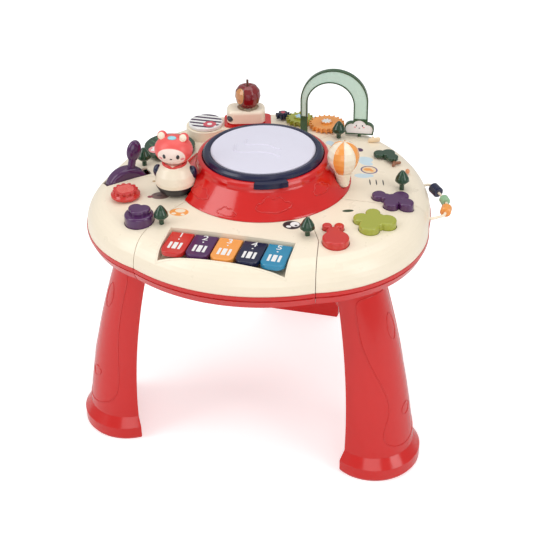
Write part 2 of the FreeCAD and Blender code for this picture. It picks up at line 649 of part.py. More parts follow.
def rainbow():
    """Green arch frame and the pale panel set into it."""
    cx, cz, r = ARCH_OUTER
    ix, iz, ir = ARCH_INNER
    edge = 1.6
    frame = arch_slab(ARCH_OUTER, ARCH_INNER, ARCH_FOOT_Z, ARCH_DEPTH).fuse(cloud_slab(ARCH_DEPTH, 0.0))
    recess = arch_slab((cx, cz, r - edge), (ix, iz, ir + edge), 360.0, ARCH_DEPTH + 2.0)
    recess = recess.fuse(cloud_slab(ARCH_DEPTH + 2.0, -edge).cut(block(-80, 120, -20, 20, 300, ARCH_FOOT_Z + edge)))
    core = block(-80, 120, -0.8, 0.8, 300.0, 440.0)
    pegs = [cylinder(x, 0.0, 330.0, ARCH_FOOT_Z + 1.0, 2.4) for x in (cx - r + 4.5, CLOUD[1][0])]
    web = frame.common(core)
    panel = frame.common(recess).cut(core)
    panel = panel.common(block(-80, 120, -ARCH_DEPTH / 2.0 + 0.8, ARCH_DEPTH / 2.0 - 0.8, 300.0, 440.0))
    ring = fuse([frame.cut(recess), web] + pegs)
    place = (ARCH_CENTRE_XY[0], ARCH_CENTRE_XY[1], ARCH_HEADING_DEG)
    return oriented(ring, *place), oriented(panel, *place)


def rod_path():
    """Rod centre line: straight runs with rounded corners."""
    points = [Vector(*p) for p in ROD_POINTS]
    edges = []
    start = points[0]
    for before, corner, after in zip(points, points[1:], points[2:]):
        u = (before - corner).normalize()
        v = (after - corner).normalize()
        turn = math.pi - math.acos(max(-1.0, min(1.0, u.dot(v))))
        cut = min(4.0, 0.3 * min((before - corner).Length, (after - corner).Length))
        radius = cut / math.tan(turn / 2.0)
        bisector = (u + v).normalize()
        centre = corner + bisector * (radius / math.cos(turn / 2.0))
        a = corner + u * cut
        b = corner + v * cut
        middle = centre + (corner - centre).normalize() * radius
        edges.append(Part.LineSegment(start, a).toShape())
        edges.append(Part.Arc(a, middle, b).toShape())
        start = b
    edges.append(Part.LineSegment(start, points[-1]).toShape())
    return Part.Wire(edges)


def bead_rod():
    """Bent rod with both ends held in the tabletop's side."""
    path = rod_path()
    first = Vector(*ROD_POINTS[0])
    heading = (Vector(*ROD_POINTS[1]) - first).normalize()
    ring = Part.Wire([Part.Circle(first, heading, ROD_R).toShape()])
    return path.makePipeShell([ring], True, True)


def bead(run, radius, length):
    """Barrel bead on one straight run of the rod."""
    a = Vector(*ROD_POINTS[run])
    b = Vector(*ROD_POINTS[run + 1])
    heading = (b - a).normalize()
    middle = (a + b) * 0.5
    profile = [(ROD_R + 0.08, -length / 2.0), (radius - 1.4, -length / 2.0), (radius, -length / 2.0 + 1.6),
               (radius, length / 2.0 - 1.6), (radius - 1.4, length / 2.0), (ROD_R + 0.08, length / 2.0)]
    solid = turned(profile)
    solid.rotate(Vector(0, 0, 0), UP.cross(heading), math.degrees(UP.getAngle(heading)))
    solid.translate(middle)
    return solid


def tree(x, y):
    """Small tree peg: trunk through the top and a pointed round crown."""
    crown = turned([(0, 343.0), (6.0, 343.2), (9.0, 346.5), (8.2, 350.5), (5.2, 356.0), (2.0, 360.0), (0, 361.0)],
                   x, y)
    return crown.fuse(cylinder(x, y, 327.0, 344.0, 3.0)).removeSplitter()


def trees():
    """The five tree pegs as separate solids."""
    return Part.makeCompound([tree(x, y) for x, y in TREES])


def bush():
    """Leafy crown that lies on the top, on one locating peg."""
    crown = soft_blob(BUSH, 338.0, 342.5, 1.6)
    return crown.fuse(cylinder(141.0, 96.0, 328.0, 339.0, 3.0)).removeSplitter()


BATTERY_HALF = (38.0, 32.0)
BATTERY_TOP_Z = 300.0


def centre_base():
    """Round underside plate with the battery compartment and four posts."""
    plate = cylinder(0, 0, BASE_Z - 3.0, BASE_Z, CROWN_R - 0.4)
    x, y = BATTERY_HALF
    box = block(-x, x, -y, y, BASE_Z - 3.0, BATTERY_TOP_Z)
    hollow = block(-x + 2.0, x - 2.0, -y + 2.0, y - 2.0, BASE_Z - 4.0, BATTERY_TOP_Z - 2.0)
    posts = [cylinder(sx * 44.0, sy * 40.0, BASE_Z - 1.0, 328.0, 4.0) for sx in (-1, 1) for sy in (-1, 1)]
    holes = [cylinder(0.0, 50.0 + 5.0 * i, BASE_Z - 4.0, BASE_Z + 1.0, 1.5) for i in range(5)]
    whole = plate.fuse(box)
    for post in posts:
        whole = whole.fuse(post)
    whole = whole.cut(hollow)
    for hole in holes + [screw_bore(i) for i in range(6)]:
        whole = whole.cut(hole)
    return whole.removeSplitter()


def battery_door():
    """Flat door that closes the battery compartment."""
    x, y = BATTERY_HALF
    door = block(-x + 2.2, x - 2.2, -y + 2.2, y - 2.2, BASE_Z - 3.0, BASE_Z - 0.6)
    return door.makeFillet(1.5, [e for e in door.Edges if abs(e.Length - 2.4) < 0.01])


def battery_cells():
    """Three round cells side by side."""
    cells = [Part.makeCylinder(7.1, 50.0, Vector(-25.0, (i - 1) * 15.0, 289.0), Vector(1, 0, 0)) for i in range(3)]
    return Part.makeCompound(cells)


def circuit_board():
    """Sound board on its posts, under the drum."""
    board = block(-52.0, 52.0, -46.0, 46.0, 328.0, 329.6)
    chips = [block(-20.0, -6.0, -10.0, 4.0, 329.6, 332.0), block(8.0, 24.0, -6.0, 2.0, 329.6, 331.6)]
    return fuse([board] + chips)


def speaker():
    """Round speaker that faces down through the underside."""
    return turned([(0, BASE_Z + 0.2), (19.0, BASE_Z + 0.2), (19.0, BASE_Z + 3.0), (16.0, BASE_Z + 6.0),
                   (9.0, BASE_Z + 12.0), (9.0, BASE_Z + 18.0), (0, BASE_Z + 18.0)], 0.0, 60.0)


def screw_bore(index):
    """Hole for one plate screw."""
    p = polar(97.0, 30.0 + 60.0 * index)
    return cylinder(p.x, p.y, BASE_Z - 4.0, BASE_Z + 1.0, 1.7)


def screws():
    """Six plate screws, heads down."""
    parts = []
    for i in range(6):
        p = polar(97.0, 30.0 + 60.0 * i)
        shank = cylinder(p.x, p.y, BASE_Z - 3.0, BASE_Z + 9.0, 1.6)
        parts.append(shank.fuse(cylinder(p.x, p.y, BASE_Z - 5.0, BASE_Z - 3.0, 3.2)).removeSplitter())
    return Part.makeCompound(parts)


def panels(fixed_through):
    """Six cream tabletop modules with their openings, and the tray for the keys."""
    skin = dome(0.0)
    middle = cylinder(0, 0, RIM_Z - 2.0, CROWN_Z + 5.0, CROWN_R)
    ring = skin.cut(dome(WALL)).cut(middle)
    tray, tray_block = key_tray_solid(skin)
    openings = [tray_block, blob(RADISH, 320.0, 350.0, BUTTON_GAP), blob(LEAF, 320.0, 350.0, BUTTON_GAP),
                blob(GRAPE, 320.0, 350.0, BUTTON_GAP), lever_well(),
                cylinder(KNOB_XY[0], KNOB_XY[1], 300.0, 350.0, KNOB_R + BUTTON_GAP),
                cylinder(DIAL_XY[0], DIAL_XY[1], 320.0, 350.0, AXLE_R + RUN_GAP),
                cylinder(FIGURE_XY[0], FIGURE_XY[1], 320.0, 350.0, AXLE_R + RUN_GAP)]
    for opening in openings:
        ring = ring.cut(opening)
    sectors = [(name, bridge_sector(deg, 290.0, 360.0)) for name, deg in BRIDGES]
    sectors += [("leg_" + name, leg_sector(deg, 290.0, 360.0)) for name, deg in LEG_MODULES]
    made = {}
    for name, sector in sectors:
        panel = ring.common(sector)
        if name == "back_left":
            panel = panel.fuse(pod().common(sector))
        if name == "leg_left":
            panel = panel.fuse(lever_axle().common(sector))
        for piece in fixed_through:
            panel = panel.cut(piece)
        for xy, top_z in FIXED_AXLES.get(name, []):
            panel = panel.fuse(axle(xy, top_z))
        made["panel_" + name] = panel.removeSplitter()
    return made, tray


FIXED_AXLES = {
    "back_left": [(PICTURE_DISC_XY, 343.0), (STRIPE_DISC_XY, 353.0)],
    "leg_back": [(OLIVE_GEAR[0], GEAR_Z1 - 1.5), (ORANGE_GEAR_XY, GEAR_Z1 - 1.5), (NAVY_GEAR_XY, GEAR_Z1 - 1.5)],
}


def build():
    """All nodes by name."""
    frame, panel_insert = rainbow()
    rod = bead_rod()
    tree_pegs = trees()
    bush_crown = bush()
    nodes, tray = panels([tree_pegs, bush_crown, frame, rod])
    nodes.update(base_shells())
    for name, deg in LEG_MODULES:
        nodes["leg_" + name] = leg(deg).cut(latch_box(deg, LATCH_R - 6.0, 266.0, 279.0, 6.4, 22.0))
        nodes["latch_" + name] = latch(deg)
    nodes.update({
        "key_tray": tray,
        "rainbow_frame": frame,
        "rainbow_panel": panel_insert,
        "bead_rod": rod,
        "tree_pegs": tree_pegs,
        "bush": bush_crown,
        "drum_housing": drum_housing(),
        "drum_ring": drum_ring(),
        "drum_head": drum_head(),
        "centre_base": centre_base(),
        "battery_door": battery_door(),
        "battery_cells": battery_cells(),
        "circuit_board": circuit_board(),
        "speaker": speaker(),
        "plate_screws": screws(),
        "car_track": car_track(),
        "car": car(),
        "apple": apple(),
        "figure_body": figure_body(),
        "figure_head": figure_head(),
        "balloon": balloon(),
        "balloon_basket": balloon_basket(),
        "radish_button": soft_button(RADISH),
        "leaf_button": soft_button(LEAF),
        "grape_button": soft_button(GRAPE),
        "push_knob": knob(),
        "dial": dial(),
        "lever": lever(),
        "picture_disc": turntable(PICTURE_DISC_XY, PICTURE_DISC_R, 338.6, 346.0),
        "stripe_disc": turntable(STRIPE_DISC_XY, STRIPE_DISC_R, POD_Z + 0.4, 355.5),
    })
    nodes.update(gears())
    for i in range(KEY_COUNT):
        nodes["key_%d" % (i + 1)] = key(i)
    for name, run, radius, length in BEADS:
        nodes[name] = bead(run, radius, length)
    return nodes


os.makedirs("parts", exist_ok=True)
for node, shape in build().items():
    box = shape.BoundBox
    print("%-18s valid %s solids %d volume %.0f  z %.1f to %.1f" % (
        node, shape.isValid(), len(shape.Solids), shape.Volume, box.ZMin, box.ZMax))
    shape.exportStep("parts/%s.step" % node)
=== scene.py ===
import json
import logging
import math
from dataclasses import dataclass
from enum import Enum

import bmesh
import bpy
import numpy as np
from mathutils import Matrix, Vector

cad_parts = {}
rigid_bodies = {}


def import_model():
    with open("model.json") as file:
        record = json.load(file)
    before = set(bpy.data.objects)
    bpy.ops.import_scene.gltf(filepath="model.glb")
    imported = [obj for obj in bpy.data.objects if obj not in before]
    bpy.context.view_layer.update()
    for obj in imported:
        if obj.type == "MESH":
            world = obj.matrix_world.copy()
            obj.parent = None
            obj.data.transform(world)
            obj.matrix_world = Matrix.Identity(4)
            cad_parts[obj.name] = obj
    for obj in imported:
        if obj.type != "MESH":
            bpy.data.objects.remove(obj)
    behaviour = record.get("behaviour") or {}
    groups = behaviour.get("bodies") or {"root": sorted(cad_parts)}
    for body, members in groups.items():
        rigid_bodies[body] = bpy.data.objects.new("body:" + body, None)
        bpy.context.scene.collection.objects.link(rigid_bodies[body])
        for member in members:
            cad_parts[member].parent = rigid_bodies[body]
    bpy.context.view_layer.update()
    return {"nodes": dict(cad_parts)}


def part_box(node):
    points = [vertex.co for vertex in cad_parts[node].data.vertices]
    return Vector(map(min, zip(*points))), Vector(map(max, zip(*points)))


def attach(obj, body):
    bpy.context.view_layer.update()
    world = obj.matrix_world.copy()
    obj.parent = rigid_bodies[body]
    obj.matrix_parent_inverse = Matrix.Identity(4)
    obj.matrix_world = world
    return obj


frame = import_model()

LOG = logging.getLogger("activity_table")
MM = 0.001
FAR = 1e6  # Half size of a mask that reaches through everything.
TAU = 2.0 * math.pi
Pair = tuple[float, float]
Triple = tuple[float, float, float]
Colour = Triple
Array = np.ndarray
Material = bpy.types.Material
Socket = bpy.types.NodeSocket


def srgb(red: int, green: int, blue: int) -> Colour:
    """Linear colour of an 8-bit display colour.

    Args:
        red, green, blue: Display values from 0 to 255.
    Returns:
        The three linear values.
    """
    values = np.array([red, green, blue]) / 255.0
    linear = np.where(values <= 0.04045, values / 12.92, ((values + 0.055) / 1.055) ** 2.4)
    return tuple(float(v) for v in linear)


RED = srgb(208, 20, 14)
RED_PRINT = srgb(204, 42, 36)
CREAM = srgb(246, 233, 210)
NAVY = srgb(14, 19, 58)
PURPLE = srgb(76, 30, 84)
PINE = srgb(24, 62, 38)
OLIVE = srgb(163, 168, 58)
ORANGE = srgb(244, 160, 76)
TEAL = srgb(40, 136, 174)
LAVENDER = srgb(221, 219, 233)
MINT = srgb(202, 232, 217)
APPLE = srgb(126, 18, 24)
CORAL = srgb(238, 92, 88)
ARCH_GREEN = srgb(46, 84, 50)
BROWN = srgb(150, 98, 70)
INK = srgb(26, 26, 32)
WHITE = srgb(240, 240, 238)
SKY = srgb(176, 212, 230)
SKY_PALE = srgb(206, 226, 234)
PINK = srgb(236, 150, 152)


class Relief(Enum):
    """How strongly a moulded surface shows its texture."""

    POLISHED = 0.04
    SATIN = 0.12
    MATT = 0.25


# Numpy surfaces


def grid_faces(rows: int, columns: int, wrap_rows: bool, wrap_columns: bool) -> Array:
    """Quads of a grid whose point (i, j) has the index i * columns + j.

    Args:
        rows, columns: Size of the grid.
        wrap_rows, wrap_columns: Whether the last row or column joins the first.
    Returns:
        Array of shape (faces, 4).
    """
    i = np.arange(rows if wrap_rows else rows - 1)[:, None]
    j = np.arange(columns if wrap_columns else columns - 1)[None, :]
    right = (j + 1) % columns
    below = (i + 1) % rows
    quads = [i * columns + j, i * columns + right, below * columns + right, below * columns + j]
    return np.stack([np.broadcast_to(q, (i.size, j.size)).ravel() for q in quads], axis=1)


def unit(vectors: Array) -> Array:
    """Each vector divided by its length."""
    return vectors / np.maximum(np.linalg.norm(vectors, axis=-1, keepdims=True), 1e-12)


def resample(path: Array, step: float, closed: bool = False) -> Array:
    """Points at even distances along a polyline, each a linear blend of its neighbours.

    Args:
        path: Points, shape (n, k).
        step: Distance between the new points.
        closed: Whether the last point joins the first.
    Returns:
        The new points.
    """
    points = np.vstack([path, path[:1]]) if closed else path
    length = np.concatenate([[0.0], np.cumsum(np.linalg.norm(np.diff(points, axis=0), axis=1))])
    count = max(int(length[-1] / step), 6)
    at = np.linspace(0.0, length[-1], count + 1)
    if closed:
        at = at[:-1]
    return np.stack([np.interp(at, length, points[:, k]) for k in range(points.shape[1])], axis=1)


def smooth_path(points: Array, closed: bool = False, rounds: int = 3) -> Array:
    """Corner cutting: each round puts points at a quarter and three quarters of every run.

    Args:
        points: Corner points, shape (n, k).
        closed: Whether the path is a ring.
        rounds: Number of rounds.
    Returns:
        The smoothed points.
    """
    path = np.asarray(points, float)
    for _ in range(rounds):
        following = np.roll(path, -1, axis=0) if closed else path[1:]
        current = path if closed else path[:-1]
        cut = np.stack([0.75 * current + 0.25 * following, 0.25 * current + 0.75 * following], axis=1)
        cut = cut.reshape(-1, path.shape[1])
        path = cut if closed else np.vstack([path[:1], cut, path[-1:]])
    return path


@dataclass(frozen=True)
class Place:
    """Where a flat design lies: its origin, its two axes and the way it faces, in millimetres."""

    origin: Triple
    across: Triple = (1.0, 0.0, 0.0)
    along: Triple = (0.0, 1.0, 0.0)

    def facing(self) -> Array:
        """Unit vector that the design faces."""
        return unit(np.cross(self.across, self.along))

    def points(self, local: Array) -> Array:
        """Points of the design: origin + u * across + v * along + w * facing."""
        basis = np.stack([unit(np.array(self.across)), unit(np.array(self.along)), self.facing()])
        return np.asarray(self.origin) + local @ basis


def top_place(x: float, y: float, z: float, heading_deg: float = 0.0) -> Place:
    """A place that faces up, turned about the vertical."""
    a = math.radians(heading_deg)
    return Place((x, y, z), (math.cos(a), math.sin(a), 0.0), (-math.sin(a), math.cos(a), 0.0))


def make_piece(name: str, points: Array, faces: list, material: Material, body: str,
               smooth: bool = True) -> bpy.types.Object:
    """Puts a mesh into the scene and makes it ride on a body.

    Args:
        name: Name of the piece.
        points: Vertices in millimetres, shape (n, 3).
        faces: Lists of vertex indices.
        material: Finish of the piece.
        body: CAD body that carries it.
        smooth: Whether the faces are shaded smooth.
    Returns:
        The new object.
    """
    mesh = bpy.data.meshes.new(name)
    mesh.from_pydata((points * MM).tolist(), [], faces)
    work = bmesh.new()
    work.from_mesh(mesh)
    bmesh.ops.remove_doubles(work, verts=work.verts, dist=2e-6)
    bmesh.ops.recalc_face_normals(work, faces=work.faces)
    work.to_mesh(mesh)
    work.free()
    mesh.polygons.foreach_set("use_smooth", np.full(len(mesh.polygons), smooth))
    mesh.materials.append(material)
    obj = bpy.data.objects.new(name, mesh)
    bpy.context.scene.collection.objects.link(obj)
    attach(obj, body)
    return obj


def through_points(points: Array, steps: int = 8) -> Array:
    """Smooth curve through every point: on each run a cubic whose end slopes follow the neighbours.

    Args:
        points: Points to pass, shape (n, k).
        steps: New points on each run.
    Returns:
        The curve's points.
    """
    p = np.vstack([2.0 * points[0] - points[1], points, 2.0 * points[-1] - points[-2]])
    a, b, c, d = (p[i:len(p) - 3 + i, None] for i in range(4))
    t = np.linspace(0.0, 1.0, steps, endpoint=False)[None, :, None]
    curve = 0.5 * (2.0 * b + (c - a) * t + (2.0 * a - 5.0 * b + 4.0 * c - d) * t ** 2
                   + (3.0 * b - a - 3.0 * c + d) * t ** 3)
    return np.vstack([curve.reshape(-1, points.shape[1]), points[-1:]])


def ridge_rows(path: Array, normals: Array, half_width: float, height: float, closed: bool,
               sides: int = 10) -> Array:
    """Ridge along a path: an oval section, half_width across and height along the surface normal.

    At the open ends the section shrinks as the square root of 1 - s squared, so they are domed.

    Args:
        path: Centre line, shape (n, 3).
        normals: Surface normal at each point.
        half_width, height: Half axes of the oval.
        closed: Whether the path is a ring.
        sides: Points round the section.
    Returns:
        Grid of shape (n, sides, 3).
    """
    if closed:
        tangent = unit(np.roll(path, -1, axis=0) - np.roll(path, 1, axis=0))
        scale = np.ones(len(path))
    else:
        tangent = unit(np.gradient(path, axis=0))
        run = np.concatenate([[0.0], np.cumsum(np.linalg.norm(np.diff(path, axis=0), axis=1))])
        near = np.minimum(run, run[-1] - run)
        scale = np.sqrt(np.clip(1.0 - np.clip(1.0 - near / half_width, 0.0, 1.0) ** 2, 0.0, 1.0))
    across = unit(np.cross(normals, tangent))
    angle = np.linspace(0.0, TAU, sides, endpoint=False)[None, :, None]
    oval = across[:, None] * half_width * np.cos(angle) + normals[:, None] * height * np.sin(angle)
    return path[:, None] + scale[:, None, None] * oval


def make_grid(name: str, rows: Array, material: Material, body: str,
              wrap_rows: bool = False) -> bpy.types.Object:
    """Piece from a grid whose columns close on themselves and whose open ends are poles or rings.

    Args:
        name, material, body: As for make_piece.
        rows: Grid of shape (n, m, 3).
        wrap_rows: Whether the last row joins the first; otherwise both ends get a lid.
    Returns:
        The new object.
    """
    count, columns = rows.shape[:2]
    faces = grid_faces(count, columns, wrap_rows, True).tolist()
    if not wrap_rows:
        faces += [list(range(columns))[::-1], list(range((count - 1) * columns, count * columns))]
    return make_piece(name, rows.reshape(-1, 3), faces, material, body)


def outline_normals(outline: Array) -> Array:
    """Outward unit normals of a counterclockwise outline."""
    tangent = unit(np.roll(outline, -1, axis=0) - np.roll(outline, 1, axis=0))
    return np.stack([tangent[:, 1], -tangent[:, 0]], axis=1)


def make_plate(name: str, outline: Array, thick: float, soften: float, place: Place,
               material: Material, body: str, slot: str, sink: float = 0.15) -> bpy.types.Object:
    """Flat plate with a softened rim: the outline is carried up, then inwards along a quarter circle.

    Args:
        name, material, body: As for make_piece; slot is not used.
        outline: Counterclockwise points, shape (n, 2), in millimetres.
        thick: Height above the surface it lies on.
        soften: Radius of the rim's quarter circle.
        place: Where the design lies.
        sink: How far its foot reaches into that surface.
    Returns:
        The new object.
    """
    normal = outline_normals(outline)
    turn = np.radians([0.0, 30.0, 60.0, 90.0])
    inset = np.concatenate([[0.0], soften * (1.0 - np.cos(turn))])
    height = np.concatenate([[-sink], thick - soften + soften * np.sin(turn)])
    flat = outline[None] - inset[:, None, None] * normal[None]
    rows = np.concatenate([flat, np.broadcast_to(height[:, None, None], flat.shape[:2] + (1,))], axis=2)
    count, columns = rows.shape[:2]
    faces = grid_faces(count, columns, False, True).tolist()
    faces += [list(range(columns))[::-1], list(range((count - 1) * columns, count * columns))]
    piece = make_piece(name, place.points(rows.reshape(-1, 3)), faces, material, body, smooth=False)
    return piece


def ellipse(rx: float, ry: float, centre: Pair = (0.0, 0.0), turn_deg: float = 0.0,
            steps: int = 40) -> Array:
    """Points (rx cos t, ry sin t) of an ellipse, turned and moved to its centre.

    Args:
        rx: Half width.
        ry: Half height.
        centre: Centre of the outline.
        turn_deg: Turn, in degrees.
        steps: Number of points.
    Returns:
        The outline points.
    """
    t = np.linspace(0.0, TAU, steps, endpoint=False)
    a = math.radians(turn_deg)
    x, y = rx * np.cos(t), ry * np.sin(t)
    across = centre[0] + x * math.cos(a) - y * math.sin(a)
    along = centre[1] + x * math.sin(a) + y * math.cos(a)
    return np.stack([across, along], axis=1)


def rounded_box(width: float, height: float, radius: float, centre: Pair = (0.0, 0.0)) -> Array:
    """Rectangle whose corners are quarter circles.

    Args:
        width: Full width.
        height: Height, in millimetres.
        radius: Corner radius.
        centre: Centre of the outline.
    Returns:
        The outline points.
    """
    t = np.linspace(0.0, TAU, 33)[:-1] + TAU / 64
    x = np.sign(np.cos(t)) * (width / 2.0 - radius) + radius * np.cos(t)
    y = np.sign(np.sin(t)) * (height / 2.0 - radius) + radius * np.sin(t)
    return np.stack([centre[0] + x, centre[1] + y], axis=1)


def flower(petals: int, inner: float, outer: float) -> Array:
    """Flower outline: the radius swings between inner and outer as the cosine of petals times the angle.

    Args:
        petals: Number of petals.
        inner: Smallest radius.
        outer: Largest radius.
    Returns:
        The outline points.
    """
    t = np.linspace(0.0, TAU, petals * 12, endpoint=False)
    r = inner + (outer - inner) * (0.5 + 0.5 * np.cos(petals * t)) ** 0.6
    return np.stack([r * np.cos(t), r * np.sin(t)], axis=1)


# Shader groups and finishes


def new_group(name: str, inputs: list[tuple[str, str]],
              outputs: list[tuple[str, str]]) -> bpy.types.ShaderNodeTree:
    """Empty shader group with named sockets.

    Args:
        name: Name of the group.
        inputs, outputs: Pairs of socket name and socket kind (Float, Vector or Color).
    Returns:
        The group, with its two end nodes placed.
    """
    tree = bpy.data.node_groups.new(name, "ShaderNodeTree")
    for socket, kind in inputs:
        tree.interface.new_socket(socket, in_out="INPUT", socket_type="NodeSocket" + kind)
    for socket, kind in outputs:
        tree.interface.new_socket(socket, in_out="OUTPUT", socket_type="NodeSocket" + kind)
    tree.nodes.new("NodeGroupInput")
    tree.nodes.new("NodeGroupOutput")
    return tree


class Wiring:
    """Short hand for building a node tree."""

    def __init__(self, tree: bpy.types.ShaderNodeTree) -> None:
        """Keeps the tree that nodes are added to."""
        self.tree = tree

    def node(self, kind: str, **settings: object) -> bpy.types.ShaderNode:
        """Adds a node and sets its properties.

        Args:
            kind: Type of the node.
        Returns:
            The node.
        """
        made = self.tree.nodes.new(kind)
        for key, value in settings.items():
            setattr(made, key, value)
        return made

    def feed(self, socket: Socket, value: object) -> None:
        """Links a socket to another one, or sets its value.

        Args:
            socket: Input socket.
            value: Socket or plain value.
        """
        if isinstance(value, Socket):
            self.tree.links.new(value, socket)
        else:
            socket.default_value = value

    def math(self, operation: str, *values: object, clamp: bool = False) -> Socket:
        """Math node; returns its result.

        Args:
            operation: Name of the operation.
            clamp: Whether the result is held between 0 and 1.
        Returns:
            The result socket.
        """
        made = self.node("ShaderNodeMath", operation=operation, use_clamp=clamp)
        for socket, value in zip(made.inputs, values):
            self.feed(socket, value)
        return made.outputs[0]

    def vector(self, operation: str, *values: object, out: str = "Vector") -> Socket:
        """Vector Math node; returns the named result.

        Args:
            operation: Name of the operation.
            out: Name of the output.
        Returns:
            The result socket.
        """
        made = self.node("ShaderNodeVectorMath", operation=operation)
        for socket, value in zip(made.inputs, values):
            self.feed(socket, value)
        return made.outputs[out]

    def blend(self, factor: object, first: object, second: object) -> Socket:
        """Mix of two colours.

        Args:
            factor: Share of the second colour.
            first: First colour.
            second: Second colour.
        Returns:
            The colour socket.
        """
        made = self.node("ShaderNodeMix", data_type="RGBA")
        self.feed(made.inputs[0], factor)
        self.feed(made.inputs[6], first if isinstance(first, Socket) else (*first, 1.0))
        self.feed(made.inputs[7], second if isinstance(second, Socket) else (*second, 1.0))
        return made.outputs[2]

    def noise(self, vector: object, scale: object, detail: float = 2.0) -> Socket:
        """Noise texture's value.

        Args:
            vector: Position socket.
            scale: Scale of the noise.
            detail: Number of octaves.
        Returns:
            The value socket.
        """
        made = self.node("ShaderNodeTexNoise")
        self.feed(made.inputs["Vector"], vector)
        self.feed(made.inputs["Scale"], scale)
        made.inputs["Detail"].default_value = detail
        return made.outputs["Fac"]

    def group(self, tree: bpy.types.ShaderNodeTree, **values: object) -> bpy.types.ShaderNode:
        """Group node with its inputs fed by name; underscores stand for spaces.

        Args:
            tree: Node tree.
        Returns:
            The node.
        """
        made = self.node("ShaderNodeGroup", node_tree=tree)
        for key, value in values.items():
            self.feed(made.inputs[key.replace("_", " ")], value)
        return made


class Effects:
    """The shader groups that the finishes share."""

    def __init__(self) -> None:
        """Builds each group once."""
        self.skin = self.build_skin()
        self.spot = self.build_spot()
        self.bands = self.build_bands()

    def build_skin(self) -> bpy.types.ShaderNodeTree:
        """Moulded skin: slow tone changes, uneven gloss and fine orange peel.

        The tone is 1 + Tone * (slow noise - 0.5); the roughness is Rough + 0.16 * (noise - 0.5).

        Returns:
            The shader group.
        """
        tree = new_group("moulded_skin", [("Vector", "Vector"), ("Colour", "Color"), ("Tone", "Float"),
                                          ("Rough", "Float")],
                         [("Colour", "Color"), ("Roughness", "Float"), ("Height", "Float")])
        w = Wiring(tree)
        start, end = tree.nodes["Group Input"], tree.nodes["Group Output"]
        at = start.outputs["Vector"]
        slow = w.noise(at, 22.0, 3.0)
        swirl = w.noise(at, 95.0, 4.0)
        both = w.math("ADD", w.math("MULTIPLY", slow, 0.65), w.math("MULTIPLY", swirl, 0.35))
        tone = w.math("ADD", 1.0, w.math("MULTIPLY", start.outputs["Tone"], w.math("SUBTRACT", both, 0.5)))
        scaled = w.node("ShaderNodeVectorMath", operation="SCALE")
        w.feed(scaled.inputs[0], start.outputs["Colour"])
        w.feed(scaled.inputs["Scale"], tone)
        w.feed(end.inputs["Colour"], scaled.outputs[0])
        smear = w.noise(at, 60.0, 5.0)
        swing = w.math("MULTIPLY", 0.16, w.math("SUBTRACT", smear, 0.5))
        rough = w.math("ADD", start.outputs["Rough"], swing)
        w.feed(end.inputs["Roughness"], rough)
        w.feed(end.inputs["Height"], w.noise(at, 1400.0, 2.0))
        return tree

    def build_spot(self) -> bpy.types.ShaderNodeTree:
        """Oval mask in plan: 1 inside the ellipse and 0 outside, with a narrow soft edge.

        Returns:
            The shader group.
        """
        tree = new_group("oval_spot", [("Vector", "Vector"), ("Centre", "Vector"), ("Turn", "Float"),
                                       ("Half Size", "Vector")], [("Mask", "Float")])
        w = Wiring(tree)
        start, end = tree.nodes["Group Input"], tree.nodes["Group Output"]
        moved = w.vector("SUBTRACT", start.outputs["Vector"], start.outputs["Centre"])
        turned = w.node("ShaderNodeVectorRotate", rotation_type="Z_AXIS")
        w.feed(turned.inputs["Vector"], moved)
        w.feed(turned.inputs["Angle"], start.outputs["Turn"])
        scaled = w.vector("DIVIDE", turned.outputs[0], start.outputs["Half Size"])
        share = w.vector("LENGTH", scaled, out="Value")
        w.feed(end.inputs["Mask"], w.math("MULTIPLY", w.math("SUBTRACT", 1.04, share), 12.0, clamp=True))
        return tree

    def build_bands(self) -> bpy.types.ShaderNodeTree:
        """Stripe mask: 1 where the fraction of (distance along Axis times Count) is below Fill.

        Returns:
            The shader group.
        """
        tree = new_group("straight_bands", [("Vector", "Vector"), ("Axis", "Vector"), ("Count", "Float"),
                                            ("Fill", "Float")], [("Mask", "Float")])
        w = Wiring(tree)
        start, end = tree.nodes["Group Input"], tree.nodes["Group Output"]
        along = w.vector("DOT_PRODUCT", start.outputs["Vector"], start.outputs["Axis"], out="Value")
        part = w.math("FRACT", w.math("MULTIPLY", along, start.outputs["Count"]))
        gap = w.math("SUBTRACT", start.outputs["Fill"], part)
        w.feed(end.inputs["Mask"], w.math("MULTIPLY", gap, 30.0, clamp=True))
        return tree


@dataclass(frozen=True)
class Spot:
    """Oval painted in plan (a print, or a painted shadow): centre, half sizes and turn, in millimetres and
    degrees.
    """

    centre: Pair
    half: Pair
    colour: Colour
    turn_deg: float = 0.0

    def mask(self, w: Wiring, effects: Effects, at: Socket) -> Socket:
        """The oval's mask, from the shared group.

        Args:
            w: Tree that the group node is added to.
            effects: The shared groups.
            at: Position socket.
        Returns:
            The mask socket.
        """
        made = w.group(effects.spot, Vector=at, Turn=-math.radians(self.turn_deg),
                       Centre=(self.centre[0] * MM, self.centre[1] * MM, 0.0),
                       Half_Size=(self.half[0] * MM, self.half[1] * MM, FAR))
        return made.outputs["Mask"]


